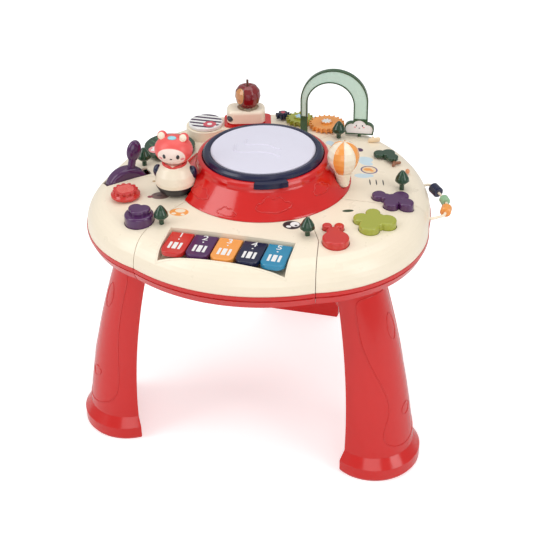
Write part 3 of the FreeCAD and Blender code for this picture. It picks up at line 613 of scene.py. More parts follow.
@dataclass(frozen=True)
class Plastic:
    """Moulded plastic finish.

    Args of the class: name, colour, roughness of the polish, relief of the surface, how much the
    tone wanders, how much clear coat lies on it, and the radius of its softened edges in millimetres.
    """

    name: str
    colour: Colour
    roughness: float = 0.24
    relief: Relief = Relief.POLISHED
    tone: float = 0.10
    coat: float = 0.25
    edge_mm: float = 0.5

    def material(self, effects: Effects, paint: "Paint | None" = None) -> Material:
        """Builds the material.

        Args:
            effects: The shared groups.
            paint: What is printed on it, or painted on it as shade, if anything.
        Returns:
            The material.
        """
        made = bpy.data.materials.new(self.name)
        made.use_nodes = True
        w = Wiring(made.node_tree)
        shader = made.node_tree.nodes["Principled BSDF"]
        at = w.node("ShaderNodeTexCoord").outputs["Object"]
        colour = paint.apply(w, effects, at, self.colour) if paint else (*self.colour, 1.0)
        skin = w.group(effects.skin, Vector=at, Colour=colour, Tone=self.tone, Rough=self.roughness)
        w.feed(shader.inputs["Base Color"], skin.outputs["Colour"])
        w.feed(shader.inputs["Roughness"], skin.outputs["Roughness"])
        shader.inputs["Coat Weight"].default_value = self.coat
        shader.inputs["Coat Roughness"].default_value = 0.08
        bump = w.node("ShaderNodeBump")
        bump.inputs["Strength"].default_value = self.relief.value
        bump.inputs["Distance"].default_value = 0.0004
        w.feed(bump.inputs["Height"], skin.outputs["Height"])
        soft = w.node("ShaderNodeBevel", samples=4)
        soft.inputs["Radius"].default_value = self.edge_mm * MM
        w.feed(bump.inputs["Normal"], soft.outputs["Normal"])
        w.feed(shader.inputs["Normal"], bump.outputs["Normal"])
        return made


class Paint:
    """Something printed on a plastic, or painted shade; each kind mixes its colours over the base."""

    def apply(self, w: Wiring, effects: Effects, at: Socket, base: Colour) -> Socket:
        """Returns the colour socket of the printed surface."""
        raise NotImplementedError


@dataclass(frozen=True)
class Spots(Paint):
    """Painted ovals (prints, and on the top one painted shadow), the later ones over the earlier ones."""

    spots: tuple[Spot, ...]

    def apply(self, w: Wiring, effects: Effects, at: Socket, base: Colour) -> Socket:
        """Mixes each oval's colour over the base by the oval's mask.

        Args:
            w: Tree being built.
            effects: The shared groups.
            at: Position socket.
            base: Colour below.
        Returns:
            The colour socket.
        """
        colour: object = base
        for spot in self.spots:
            colour = w.blend(spot.mask(w, effects, at), colour, spot.colour)
        return colour


@dataclass(frozen=True)
class Gores(Paint):
    """Upright gores round an axis: colour changes with the angle."""

    centre: Pair
    count: int
    second: Colour
    phase_deg: float = 0.0

    def apply(self, w: Wiring, effects: Effects, at: Socket, base: Colour) -> Socket:
        """The mask is 1 where the sine of count / 2 times (angle - phase) is positive.

        Args:
            w: Tree being built.
            effects: The shared groups.
            at: Position socket.
            base: Colour below.
        Returns:
            The colour socket.
        """
        moved = w.vector("SUBTRACT", at, (self.centre[0] * MM, self.centre[1] * MM, 0.0))
        split = w.node("ShaderNodeSeparateXYZ")
        w.feed(split.inputs[0], moved)
        angle = w.math("ARCTAN2", split.outputs[1], split.outputs[0])
        share = self.count / 2.0
        wave = w.math("SINE", w.math("MULTIPLY_ADD", angle, share, -share * math.radians(self.phase_deg)))
        return w.blend(w.math("MULTIPLY_ADD", wave, 14.0, 0.5, clamp=True), base, self.second)


@dataclass(frozen=True)
class Heights(Paint):
    """Another colour above or below a level."""

    level_mm: float
    second: Colour
    above: bool = True

    def apply(self, w: Wiring, effects: Effects, at: Socket, base: Colour) -> Socket:
        """The mask is 1 on the far side of the level.

        Args:
            w: Tree being built.
            effects: The shared groups.
            at: Position socket.
            base: Colour below.
        Returns:
            The colour socket.
        """
        split = w.node("ShaderNodeSeparateXYZ")
        w.feed(split.inputs[0], at)
        sign = 4000.0 if self.above else -4000.0
        offset = w.math("SUBTRACT", split.outputs[2], self.level_mm * MM)
        return w.blend(w.math("MULTIPLY_ADD", offset, sign, 0.5, clamp=True), base, self.second)


@dataclass(frozen=True)
class Balls(Paint):
    """Colour inside one or more balls or long ellipsoids of space, in millimetres."""

    balls: tuple[tuple[Triple, Triple, Colour], ...]

    def apply(self, w: Wiring, effects: Effects, at: Socket, base: Colour) -> Socket:
        """Mixes each colour where the scaled distance from the ball's centre is below 1.

        Args:
            w: Tree being built.
            effects: The shared groups.
            at: Position socket.
            base: Colour below.
        Returns:
            The colour socket.
        """
        colour: object = base
        for centre, half, second in self.balls:
            moved = w.vector("SUBTRACT", at, tuple(c * MM for c in centre))
            share = w.vector("LENGTH", w.vector("DIVIDE", moved, tuple(h * MM for h in half)), out="Value")
            mask = w.math("MULTIPLY", w.math("SUBTRACT", 1.03, share), 16.0, clamp=True)
            colour = w.blend(mask, colour, second)
        return colour


@dataclass(frozen=True)
class Bands(Paint):
    """Straight printed stripes inside an oval."""

    axis: Pair
    per_mm: float
    fill: float
    second: Colour
    inside: Spot

    def apply(self, w: Wiring, effects: Effects, at: Socket, base: Colour) -> Socket:
        """Mixes the stripes' colour over the base, inside the oval.

        Args:
            w: Tree being built.
            effects: The shared groups.
            at: Position socket.
            base: Colour below.
        Returns:
            The colour socket.
        """
        bands = w.group(effects.bands, Vector=at, Axis=(*self.axis, 0.0), Count=self.per_mm / MM,
                        Fill=self.fill)
        mask = w.math("MULTIPLY", bands.outputs["Mask"], self.inside.mask(w, effects, at))
        return w.blend(mask, base, self.second)


# Sub-assemblies


def paint_nodes(material: Material, *names: str) -> None:
    """Gives CAD nodes a finish through their objects' material slots.

    Args:
        material: Material of the piece.
    """
    for name in names:
        obj = frame["nodes"][name]
        if not obj.material_slots:
            obj.data.materials.append(None)
        for slot in obj.material_slots:
            slot.link = "OBJECT"
            slot.material = material


def centre_of(node: str) -> Pair:
    """Centre in plan of a CAD node, in millimetres."""
    low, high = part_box(node)
    return ((low.x + high.x) / 2.0 / MM, (low.y + high.y) / 2.0 / MM)


@dataclass
class Tabletop:
    """Six cream modules with their small prints and one painted shadow, and the tray under the keys."""

    modules: tuple[str, ...] = ("panel_front", "panel_back_right", "panel_back_left", "panel_leg_right",
                                "panel_leg_left", "panel_leg_back")
    prints_and_shadow: tuple[Spot, ...] = (
        Spot((-78.5, -105.5), (12.0, 8.5), ORANGE, 4.0), Spot((-78.0, -102.0), (6.5, 4.2), CREAM, 4.0),
        Spot((-84.0, -109.5), (3.0, 2.2), CREAM), Spot((-72.5, -109.5), (2.6, 2.0), CREAM),
        Spot((63.5, -104.0), (11.0, 9.0), INK, 10.0), Spot((66.5, -101.5), (5.6, 5.4), WHITE, 10.0),
        Spot((60.5, -108.0), (3.2, 2.4), WHITE), Spot((68.5, -103.5), (1.8, 1.6), INK),
        Spot((-114.5, -71.5), (12.0, 9.0), srgb(126, 98, 92), 12.0),
        Spot((-126.5, -76.5), (3.6, 3.0), srgb(150, 70, 78)),
        Spot((-116.0, -71.5), (3.4, 2.2), srgb(92, 64, 66), 12.0),
        # Painted shadow, not a print: small brown oval left of and behind the figure, where its shade falls
        # on the top.
        Spot((-135.0, -37.0), (3.0, 2.4), srgb(196, 164, 120)),
        Spot((121.5, -54.2), (7.0, 3.0), PINE, 24.0),
        Spot((114.0, 84.0), (12.0, 9.0), SKY_PALE, 20.0), Spot((119.0, 75.0), (9.0, 6.0), SKY_PALE, -10.0),
        Spot((121.0, 38.5), (10.5, 6.0), SKY_PALE, 15.0), Spot((129.0, 42.0), (6.0, 4.5), SKY_PALE),
        Spot((59.5, 121.0), (5.5, 6.5), SKY_PALE, 10.0), Spot((66.0, 114.0), (4.0, 4.0), SKY_PALE),
        Spot((126.0, 57.5), (11.0, 11.0), srgb(88, 80, 140)),
        Spot((126.0, 57.5), (9.2, 9.2), srgb(244, 214, 170)),
        Spot((124.0, 58.0), (5.4, 3.6), ORANGE, 20.0), Spot((130.0, 56.0), (2.4, 2.2), ORANGE),
        Spot((102.5, 112.0), (4.6, 5.6), PURPLE, 30.0),
        Spot((133.5, 24.7), (0.8, 7.5), INK, 15.0), Spot((141.3, 26.9), (0.8, 7.5), INK, 15.0),
        Spot((149.7, 29.2), (0.8, 7.5), INK, 15.0),
    )

    def build(self, effects: Effects) -> None:
        """Dresses the modules and the tray.

        Args:
            effects: The shared groups.
        """
        top = Plastic("cream_top", CREAM, roughness=0.30, relief=Relief.SATIN, tone=0.07, coat=0.15,
                      edge_mm=0.8)
        paint_nodes(top.material(effects, Spots(self.prints_and_shadow)), *self.modules)
        tray = Plastic("cream_tray", CREAM, roughness=0.36, relief=Relief.SATIN, tone=0.07, coat=0.05)
        paint_nodes(tray.material(effects), "key_tray")


def cubic_through(heights: list[float], values: list[float], at: Array) -> Array:
    """Values of the cubic that passes through four given points."""
    return np.polyval(np.polyfit(heights, values, 3), at)


@dataclass
class Legs:
    """Red rim, sockets, hollow legs and latches, with the raised outlines on each leg."""

    names: tuple[tuple[str, float], ...] = (("right", 60.0), ("left", -60.0), ("back", 180.0))
    heights: tuple[float, ...] = (32.0, 110.0, 190.0, 262.0)
    inner: tuple[float, ...] = (194.0, 190.0, 178.0, 161.0)
    half: tuple[float, ...] = (52.5, 47.7, 42.3, 37.5)
    outer: tuple[float, ...] = (250.0, 237.0, 217.0, 193.5)
    rims: tuple[str, ...] = ("front", "back_right", "back_left", "leg_right", "leg_left", "leg_back")
    line_height: float = 0.7
    thin_half_width: float = 0.6
    wavy: tuple[Pair, ...] = ((-0.42, 252.0), (-0.60, 246.0), (-0.62, 225.0), (-0.62, 200.0), (-0.52, 172.0),
                              (-0.34, 142.0), (-0.22, 116.0), (-0.22, 96.0), (-0.34, 74.0), (-0.36, 56.0),
                              (-0.20, 45.0), (0.06, 42.0), (0.34, 46.0), (0.62, 58.0), (0.70, 84.0),
                              (0.66, 120.0), (0.60, 160.0), (0.58, 200.0), (0.60, 240.0), (0.44, 252.0),
                              (0.10, 253.0))
    drop: tuple[Pair, ...] = ((0.16, 226.0), (0.30, 214.0), (0.30, 196.0), (0.16, 186.0), (0.04, 196.0),
                              (0.04, 214.0))
    leaf: tuple[Pair, ...] = ((0.02, 92.0), (0.16, 100.0), (0.34, 94.0), (0.22, 84.0), (0.10, 82.0))

    def surface(self, across: Array, height: Array, turn_deg: float) -> Array:
        """Points on a leg's outer face.

        The section at a height is the circle through (inner, -half), (outer, 0) and (inner, half);
        across runs from -1 to 1 along its arc.

        Args:
            across: Share along the arc.
            height: Height above the floor.
            turn_deg: Direction of the leg from the front, towards the right.
        Returns:
            Points of shape (n, 3).
        """
        near, wide, far = (cubic_through(list(self.heights), list(v), height)
                           for v in (self.inner, self.half, self.outer))
        depth = far - near
        radius = (depth ** 2 + wide ** 2) / (2.0 * depth)
        centre = far - radius
        reach = np.arctan2(wide, near - centre)
        angle = across * reach
        out = centre + radius * np.cos(angle)
        side = radius * np.sin(angle)
        a = math.radians(turn_deg)
        direction = np.array([math.sin(a), -math.cos(a)])
        left = np.array([math.cos(a), math.sin(a)])
        plan = out[:, None] * direction + side[:, None] * left
        return np.column_stack([plan, height])

    def normals(self, across: Array, height: Array, turn_deg: float) -> Array:
        """Outward normals, from the cross product of two small steps on the surface.

        Args:
            across: Distance across, in millimetres.
            height: Height, in millimetres.
            turn_deg: Turn, in degrees.
        Returns:
            One normal per point.
        """
        base = self.surface(across, height, turn_deg)
        sideways = self.surface(across + 0.01, height, turn_deg) - base
        upwards = self.surface(across, height + 1.0, turn_deg) - base
        return unit(np.cross(sideways, upwards))

    def outline(self, name: str, design: Array, turn_deg: float, material: Material,
                half_width: float = 0.8) -> None:
        """Raised closed line on a leg.

        Args:
            name: Name of the piece.
            design: Corner points as share across and height, shape (n, 2).
            turn_deg: Direction of the leg.
            material: Finish.
            half_width: Half width of the line in millimetres.
        """
        scale = np.array([50.0, 1.0])
        path = resample(smooth_path(design * scale, closed=True), 2.0, closed=True) / scale
        points = self.surface(path[:, 0], path[:, 1], turn_deg)
        normals = self.normals(path[:, 0], path[:, 1], turn_deg)
        rows = ridge_rows(points, normals, half_width, self.line_height, True, 8)
        make_grid(name, rows, material, "root", True)

    def build(self, effects: Effects) -> None:
        """Dresses the rim and the legs and adds their raised lines and latch frames.

        Args:
            effects: The shared groups.
        """
        red = Plastic("red_gloss", RED, roughness=0.20, tone=0.10, coat=0.35, edge_mm=0.8).material(effects)
        rims = ["base_" + n for n in self.rims]
        paint_nodes(red, *rims, *["leg_" + n for n, _ in self.names], *["latch_" + n for n, _ in self.names])
        for name, turn in self.names:
            self.outline(f"leg_{name}_line", np.array(self.wavy), turn, red)
            self.outline(f"leg_{name}_drop", np.array(self.drop), turn, red, self.thin_half_width)
            self.outline(f"leg_{name}_leaf", np.array(self.leaf), turn, red, self.thin_half_width)
            self.latch_frame(name, turn, red)

    def latch_frame(self, name: str, turn_deg: float, material: Material) -> None:
        """Raised U round a leg's latch, on the socket's outer face.

        Args:
            name: Name of the piece.
            turn_deg: Turn, in degrees.
            material: Material of the piece.
        """
        half, bend_level, drop, high = 8.2, 268.0, 4.6, 280.0
        t = np.linspace(0.0, math.pi, 13)
        bend = np.stack([-half * np.cos(t), bend_level - drop * np.sin(t)], axis=1)
        design = np.vstack([[(-half, high)], bend, [(half, high)]])
        path = resample(design, 1.2)
        reach, bulge, flare_level, flare = 197.5, 63.0, 272.0, 0.9
        out = reach - bulge + np.sqrt(bulge ** 2 - path[:, 0] ** 2)
        out = out + flare * np.clip(path[:, 1] - flare_level, 0.0, None)
        a = math.radians(turn_deg)
        direction, left = np.array([math.sin(a), -math.cos(a)]), np.array([math.cos(a), math.sin(a)])
        points = np.column_stack([out[:, None] * direction + path[:, :1] * left, path[:, 1]])
        normals = np.broadcast_to(np.array([*direction, 0.0]), points.shape)
        make_grid(f"latch_{name}_frame", ridge_rows(points, normals, 0.9, 1.2, False, 8), material, "root")


@dataclass
class Keyboard:
    """Five keys, each with a plain number, a dot and three bars."""

    top: float = 333.0
    pitch: float = 30.2
    colours: tuple[tuple[str, Colour], ...] = (("red", RED_PRINT), ("purple", PURPLE), ("orange", ORANGE),
                                               ("navy", NAVY), ("teal", TEAL))
    bars: tuple[Pair, ...] = ((-6.2, 3.2), (0.0, 5.2), (6.2, 3.2))
    bar_length: float = 14.0
    bar_y: float = -174.0
    dot_radius: float = 1.1
    dot_y: float = -159.6
    number_y: float = -150.6
    number_size: float = 14.0
    mark: Pair = (0.25, 0.15)

    def number(self, text: str, place: Place, material: Material, body: str) -> None:
        """Raised number from the built-in typeface, laid on the key.

        Args:
            text: Text of the number.
            place: Where it lies and how it faces.
            material: Material of the piece.
            body: Body that it moves with.
        """
        curve = bpy.data.curves.new(f"{body}_number", "FONT")
        curve.body = text
        curve.size = self.number_size
        curve.extrude = 0.16
        curve.align_x = "CENTER"
        curve.align_y = "CENTER"
        holder = bpy.data.objects.new(f"{body}_letter", curve)
        bpy.context.scene.collection.objects.link(holder)
        bpy.context.view_layer.update()
        flat = bpy.data.meshes.new_from_object(holder.evaluated_get(bpy.context.evaluated_depsgraph_get()))
        points = np.empty(len(flat.vertices) * 3)
        flat.vertices.foreach_get("co", points)
        faces = [list(p.vertices) for p in flat.polygons]
        bpy.data.objects.remove(holder)
        wide = points.reshape(-1, 3) * (1.12, 1.0, 1.0)
        make_piece(f"{body}_number", place.points(wide), faces, material, body, smooth=False)

    def build(self, effects: Effects) -> None:
        """Dresses the keys and lays their marks on them.

        Args:
            effects: The shared groups.
        """
        white = Plastic("white_mark", WHITE, roughness=0.34, relief=Relief.SATIN, tone=0.05, coat=0.1,
                        edge_mm=0.2).material(effects)
        for i, (name, colour) in enumerate(self.colours):
            body = f"key_{i + 1}"
            slot = f"{name}_plastic"
            gloss = Plastic(f"{name}_key", colour, roughness=0.18, tone=0.10, coat=0.25, edge_mm=0.6)
            paint_nodes(gloss.material(effects), body)
            x = (i - 2) * self.pitch
            self.number(str(i + 1), top_place(x, self.number_y, self.top + 0.1), white, body)
            dot = ellipse(self.dot_radius, self.dot_radius, steps=20)
            make_plate(f"{body}_dot", dot, *self.mark, top_place(x, self.dot_y, self.top), white, body, slot)
            for k, (offset, width) in enumerate(self.bars):
                outline = rounded_box(width, self.bar_length, 0.6)
                place = top_place(x + offset, self.bar_y, self.top)
                make_plate(f"{body}_bar_{k + 1}", outline, *self.mark, place, white, body, slot)


@dataclass
class Drum:
    """Conical housing with raised clouds, navy ring and pale head with a raised wavy line."""

    slope_low: Pair = (110.8, 340.2)
    slope_high: Pair = (86.0, 364.6)
    head_level: float = 382.55
    clouds: tuple[Triple, ...] = ((22.0, 354.5, 1.3), (-10.0, 345.5, 0.7), (-38.0, 353.5, 1.0),
                                  (64.0, 357.5, 0.9), (118.0, 350.0, 1.0), (150.0, 356.0, 0.7),
                                  (188.0, 348.0, 1.0), (228.0, 354.0, 0.8), (262.0, 349.0, 0.9))

    def on_slope(self, deg: Array, height: Array) -> tuple[Array, Array]:
        """Points and normals on the housing's slope: the radius falls evenly with the height.

        Args:
            deg: Angles about the axis, in degrees.
            height: Height, in millimetres.
        Returns:
            Points and normals.
        """
        (r0, z0), (r1, z1) = self.slope_low, self.slope_high
        radius = r0 + (r1 - r0) * (height - z0) / (z1 - z0)
        a = np.radians(deg)
        direction = np.stack([np.sin(a), -np.cos(a), np.zeros_like(a)], axis=1)
        points = direction * radius[:, None] + np.stack([0 * a, 0 * a, height], axis=1)
        lean = np.array([0.0, 0.0, (r0 - r1) / (z1 - z0)])
        return points, unit(direction + lean)

    def cloud(self) -> Array:
        """Cloud outline of unit size: five bumps over a flat foot.

        Returns:
            The outline points.
        """
        return np.array([(-17.0, -4.4), (-15.0, 0.4), (-10.0, 0.8), (-8.0, 4.6), (-2.0, 5.4), (1.5, 2.6),
                         (6.0, 4.6), (11.0, 3.8), (12.5, 0.2), (18.0, 0.0), (19.0, -3.0), (10.0, -5.0),
                         (4.0, -6.2), (-5.0, -5.4)])

    def wave(self, size: float, height: float, phase: float) -> Array:
        """Open path: a run along x whose height is a sine, hooked down at its left end.

        Args:
            size: Size, in millimetres.
            height: Height, in millimetres.
            phase: Phase of the wave, in radians.
        Returns:
            The outline points.
        """
        x = np.linspace(-1.0, 1.0, 26)
        y = height + 0.16 * np.sin(2.6 * x + phase)
        hook = np.array([(-1.16, height + 0.42), (-1.12, height + 0.2)])
        return size * np.vstack([hook, np.stack([x, y], axis=1)])

    def build(self, effects: Effects) -> None:
        """Dresses the drum and adds the raised work.

        Args:
            effects: The shared groups.
        """
        red = Plastic("red_cone", RED, roughness=0.16, tone=0.10, coat=0.45, edge_mm=0.9).material(effects)
        navy = Plastic("navy_ring", NAVY, roughness=0.24, tone=0.14, coat=0.2, edge_mm=0.8).material(effects)
        pale = Plastic("drum_skin", LAVENDER, roughness=0.42, relief=Relief.SATIN, tone=0.05, coat=0.0)
        head = pale.material(effects)
        paint_nodes(red, "drum_housing", "car_track")
        paint_nodes(navy, "drum_ring")
        paint_nodes(head, "drum_head")
        for i, (deg, height, size) in enumerate(self.clouds):
            design = resample(smooth_path(self.cloud() * size, closed=True, rounds=2), 1.5, closed=True)
            mid = self.slope_low[0] - 10.0
            points, normals = self.on_slope(deg + np.degrees(design[:, 0] / mid), height + design[:, 1])
            make_grid(f"cone_cloud_{i + 1}", ridge_rows(points, normals, 0.9, 0.75, True, 8), red, "root",
                      True)
        turn = math.radians(-6.0)
        for i, (size, height, phase) in enumerate(((30.0, -0.55, 0.6), (24.0, 0.15, 1.4))):
            path = resample(smooth_path(self.wave(size, height, phase)), 1.2)
            x = path[:, 0] * math.cos(turn) - path[:, 1] * math.sin(turn)
            y = path[:, 0] * math.sin(turn) + path[:, 1] * math.cos(turn)
            level = self.head_level + 0.5 * (1.0 - np.hypot(x, y) / 66.0)
            points = np.column_stack([x, y, level])
            normals = np.broadcast_to([0.0, 0.0, 1.0], points.shape)
            make_grid(f"head_wave_{i + 1}", ridge_rows(points, normals, 1.7, 1.2, False), head, "drum_head")


@dataclass
class PlayPieces:
    """Buttons, knob, dial, lever, turning discs, gears, beads, trees and bush."""

    dial_level: float = 346.5
    disc_level: float = 346.0
    stripe_level: float = 355.5
    boss_level: float = 345.0
    patch: Pair = (-12.0, -19.0)
    motif: Pair = (8.0, -8.0)
    print_rise: Pair = (0.25, 0.1)

    def dial_grip(self, material: Material) -> None:
        """Slanted ridges across the dial, each as long as the chord at its distance.

        Args:
            material: Material of the piece.
        """
        a = math.radians(38.0)
        along, aside = np.array([math.cos(a), math.sin(a)]), np.array([-math.sin(a), math.cos(a)])
        for k, offset in enumerate(np.linspace(-8.4, 8.4, 8)):
            reach = math.sqrt(11.6 ** 2 - offset ** 2)
            t = np.linspace(-reach, reach, 16)[:, None]
            plan = np.array(centre_of("dial")) + t * along + offset * aside
            points = np.column_stack([plan, np.full(len(plan), self.dial_level)])
            normals = np.broadcast_to([0.0, 0.0, 1.0], points.shape)
            make_grid(f"dial_rib_{k + 1}", ridge_rows(points, normals, 0.65, 0.8, False, 8), material, "dial")

    def pines(self, material: Material) -> None:
        """Small flat pine shapes on the picture disc.

        Args:
            material: Material of the piece.
        """
        half = ((1.0, -7.0), (1.0, -4.6), (4.6, -4.6), (2.2, -1.0), (3.6, -1.0), (1.6, 2.4), (2.6, 2.4))
        shape = np.array([(-1.0, -7.0), *half, (0.0, 7.0), *((-x, y) for x, y in half[:0:-1])])
        for k, deg in enumerate((100.0, 145.0, 235.0, 280.0, 325.0, 10.0)):
            a = math.radians(deg)
            centre = centre_of("picture_disc")
            x, y = centre[0] + 23.0 * math.cos(a), centre[1] + 23.0 * math.sin(a)
            place = top_place(x, y, self.disc_level, deg - 90.0)
            make_plate(f"disc_pine_{k + 1}", shape, *self.print_rise, place, material, "picture_disc",
                       "green_plastic")

    def flower_plate(self, name: str, centre: Pair, size: float, petals: int,
                     material: Material, body: str, slot: str, level: float) -> None:
        """Flat flower on a hub."""
        outline = flower(petals, size * 0.55, size)
        make_plate(name, outline, 0.35, 0.2, top_place(*centre, level), material, body, slot)

    def build(self, effects: Effects) -> None:
        """Dresses the pieces and adds their raised and printed details.

        Args:
            effects: The shared groups.
        """
        purple = Plastic("purple_gloss", PURPLE, roughness=0.18, tone=0.14, coat=0.45,
                         edge_mm=0.7).material(effects)
        red = Plastic("red_button", RED_PRINT, roughness=0.18, tone=0.10, coat=0.4,
                      edge_mm=0.7).material(effects)
        olive = Plastic("olive_gloss", OLIVE, roughness=0.22, tone=0.10, coat=0.35,
                        edge_mm=0.7).material(effects)
        pine = Plastic("pine_gloss", PINE, roughness=0.20, tone=0.16, coat=0.4, edge_mm=0.6).material(effects)
        navy = Plastic("navy_gloss", NAVY, roughness=0.18, tone=0.14, coat=0.4, edge_mm=0.6).material(effects)
        mint = Plastic("mint_gloss", srgb(150, 190, 150), roughness=0.22, coat=0.3).material(effects)
        orange = Plastic("orange_gloss", ORANGE, roughness=0.22, coat=0.3, edge_mm=0.5).material(effects)
        sky = Plastic("sky_print", SKY, roughness=0.34, relief=Relief.SATIN, coat=0.1).material(effects)
        white = Plastic("white_print", WHITE, roughness=0.34, relief=Relief.SATIN, coat=0.1).material(effects)
        disc_green = Plastic("disc_green", srgb(96, 132, 96), roughness=0.34, relief=Relief.SATIN)
        leaf_green = disc_green.material(effects)
        paint_nodes(purple, "grape_button", "push_knob", "lever")
        paint_nodes(red, "radish_button", "dial")
        paint_nodes(olive, "leaf_button", "gear_olive")
        paint_nodes(pine, "tree_pegs", "bush")
        paint_nodes(navy, "bead_navy", "gear_navy")
        paint_nodes(mint, "bead_mint")
        paint_nodes(orange, "bead_orange", "gear_orange")
        rod = Plastic("rod_cream", CREAM, roughness=0.3, coat=0.2).material(effects)
        paint_nodes(rod, "bead_rod")
        x, y = centre_of("picture_disc")
        picture = Plastic("picture_print", PINE, roughness=0.26, tone=0.16, coat=0.3)
        inside = Spot((x - 2.0, y + 2.0), (26.0, 26.0), PINE)
        stripes = Bands((0.55, 0.83), 0.12, 0.32, srgb(60, 98, 66), inside)
        paint_nodes(picture.material(effects, stripes), "picture_disc")
        self.pines(leaf_green)
        blush = Plastic("blush_print", PINK, roughness=0.34, relief=Relief.SATIN).material(effects)
        spot = (x + self.patch[0], y + self.patch[1])
        make_plate("disc_patch", ellipse(10.5, 10.5), 0.2, 0.1, top_place(*spot, self.disc_level), blush,
                   "picture_disc", "green_plastic")
        above = top_place(*spot, self.disc_level + 0.2)
        make_plate("disc_patch_middle", flower(5, 5.0, 8.0), *self.print_rise, above, white, "picture_disc",
                   "green_plastic")
        sx, sy = centre_of("stripe_disc")
        striped = Plastic("striped_print", WHITE, roughness=0.28, tone=0.05, coat=0.25)
        bands = Bands((0.0, 1.0), 0.11, 0.52, srgb(62, 36, 70), Spot((sx, sy), (22.0, 22.0), WHITE))
        paint_nodes(striped.material(effects, bands), "stripe_disc")
        rose = Plastic("rose_print", srgb(206, 76, 92), roughness=0.3, relief=Relief.SATIN).material(effects)
        motif = (sx + self.motif[0], sy + self.motif[1])
        flower_at = top_place(*motif, self.stripe_level)
        eye_at = top_place(*motif, self.stripe_level + 0.25)
        make_plate("stripe_flower", flower(8, 8.2, 9.4), *self.print_rise, flower_at, rose, "stripe_disc",
                   "print")
        make_plate("stripe_flower_eye", ellipse(3.4, 3.4), 0.2, 0.1, eye_at, white, "stripe_disc", "print")
        ribs = Plastic("rib_pink", srgb(232, 116, 108), roughness=0.28, coat=0.2).material(effects)
        self.dial_grip(ribs)
        boss = self.boss_level
        self.flower_plate("gear_olive_flower", centre_of("gear_olive"), 6.8, 6, sky, "gear_olive",
                          "olive_plastic", boss)
        self.flower_plate("gear_orange_flower", centre_of("gear_orange"), 7.2, 8, white, "gear_orange",
                          "orange_plastic", boss)
        self.flower_plate("gear_navy_flower", centre_of("gear_navy"), 3.6, 5, rose, "gear_navy",
                          "navy_plastic", boss)


@dataclass
class CarAndApple:
    """Cream car on its red track, with the apple that spins in it."""

    heading_deg: float = 16.0
    corner: Pair = (18.0, 6.0)
    corner_radius: float = 11.0
    window_level: float = 361.4
    apple_level: float = 388.0

    def window(self, name: str, side: float, material: Material) -> None:
        """Oval window on a rounded corner at the car's left end, square to the corner's normal.

        Args:
            name: Name of the piece.
            side: -1.0 for the front, 1.0 for the back.
            material: Material of the piece.
        """
        a = math.radians(self.heading_deg)
        forward = np.array([math.cos(a), math.sin(a), 0.0])
        aside = np.array([-math.sin(a), math.cos(a), 0.0]) * side
        out = unit(aside * 1.15 - forward)
        centre = np.array([*centre_of("apple"), self.window_level])
        origin = centre - forward * self.corner[0] + aside * self.corner[1] + out * self.corner_radius
        across = np.cross([0.0, 0.0, 1.0], out)
        place = Place(tuple(origin), tuple(across), (0.0, 0.0, 1.0))
        make_plate(name, ellipse(4.8, 4.2), 0.5, 0.4, place, material, "car", "cream_plastic", sink=1.3)

    def build(self, effects: Effects) -> None:
        """Dresses both and adds the windows, the skirt line and the stalk's collar.

        Args:
            effects: The shared groups.
        """
        cream = Plastic("car_cream", CREAM, roughness=0.24, coat=0.3, edge_mm=0.9)
        paint_nodes(cream.material(effects, Heights(354.8, RED_PRINT, above=False)), "car")
        glass = Plastic("window_dark", INK, roughness=0.10, coat=0.6).material(effects)
        self.window("car_window_near", -1.0, glass)
        self.window("car_window_far", 1.0, glass)
        x, y = centre_of("apple")
        leaf = (x - 8.6, y - 14.2, self.apple_level + 5.0)
        patch = (leaf, (8.0, 8.0, 12.0), srgb(206, 142, 86))
        rim = (leaf, (9.2, 9.2, 13.2), srgb(92, 62, 44))
        stalk = ((x, y, self.apple_level + 22.0), (3.0, 3.0, 8.4), srgb(104, 66, 52))
        apple = Plastic("apple_gloss", APPLE, roughness=0.14, tone=0.30, coat=0.6, edge_mm=0.4)
        paint_nodes(apple.material(effects, Balls((rim, patch, stalk))), "apple")


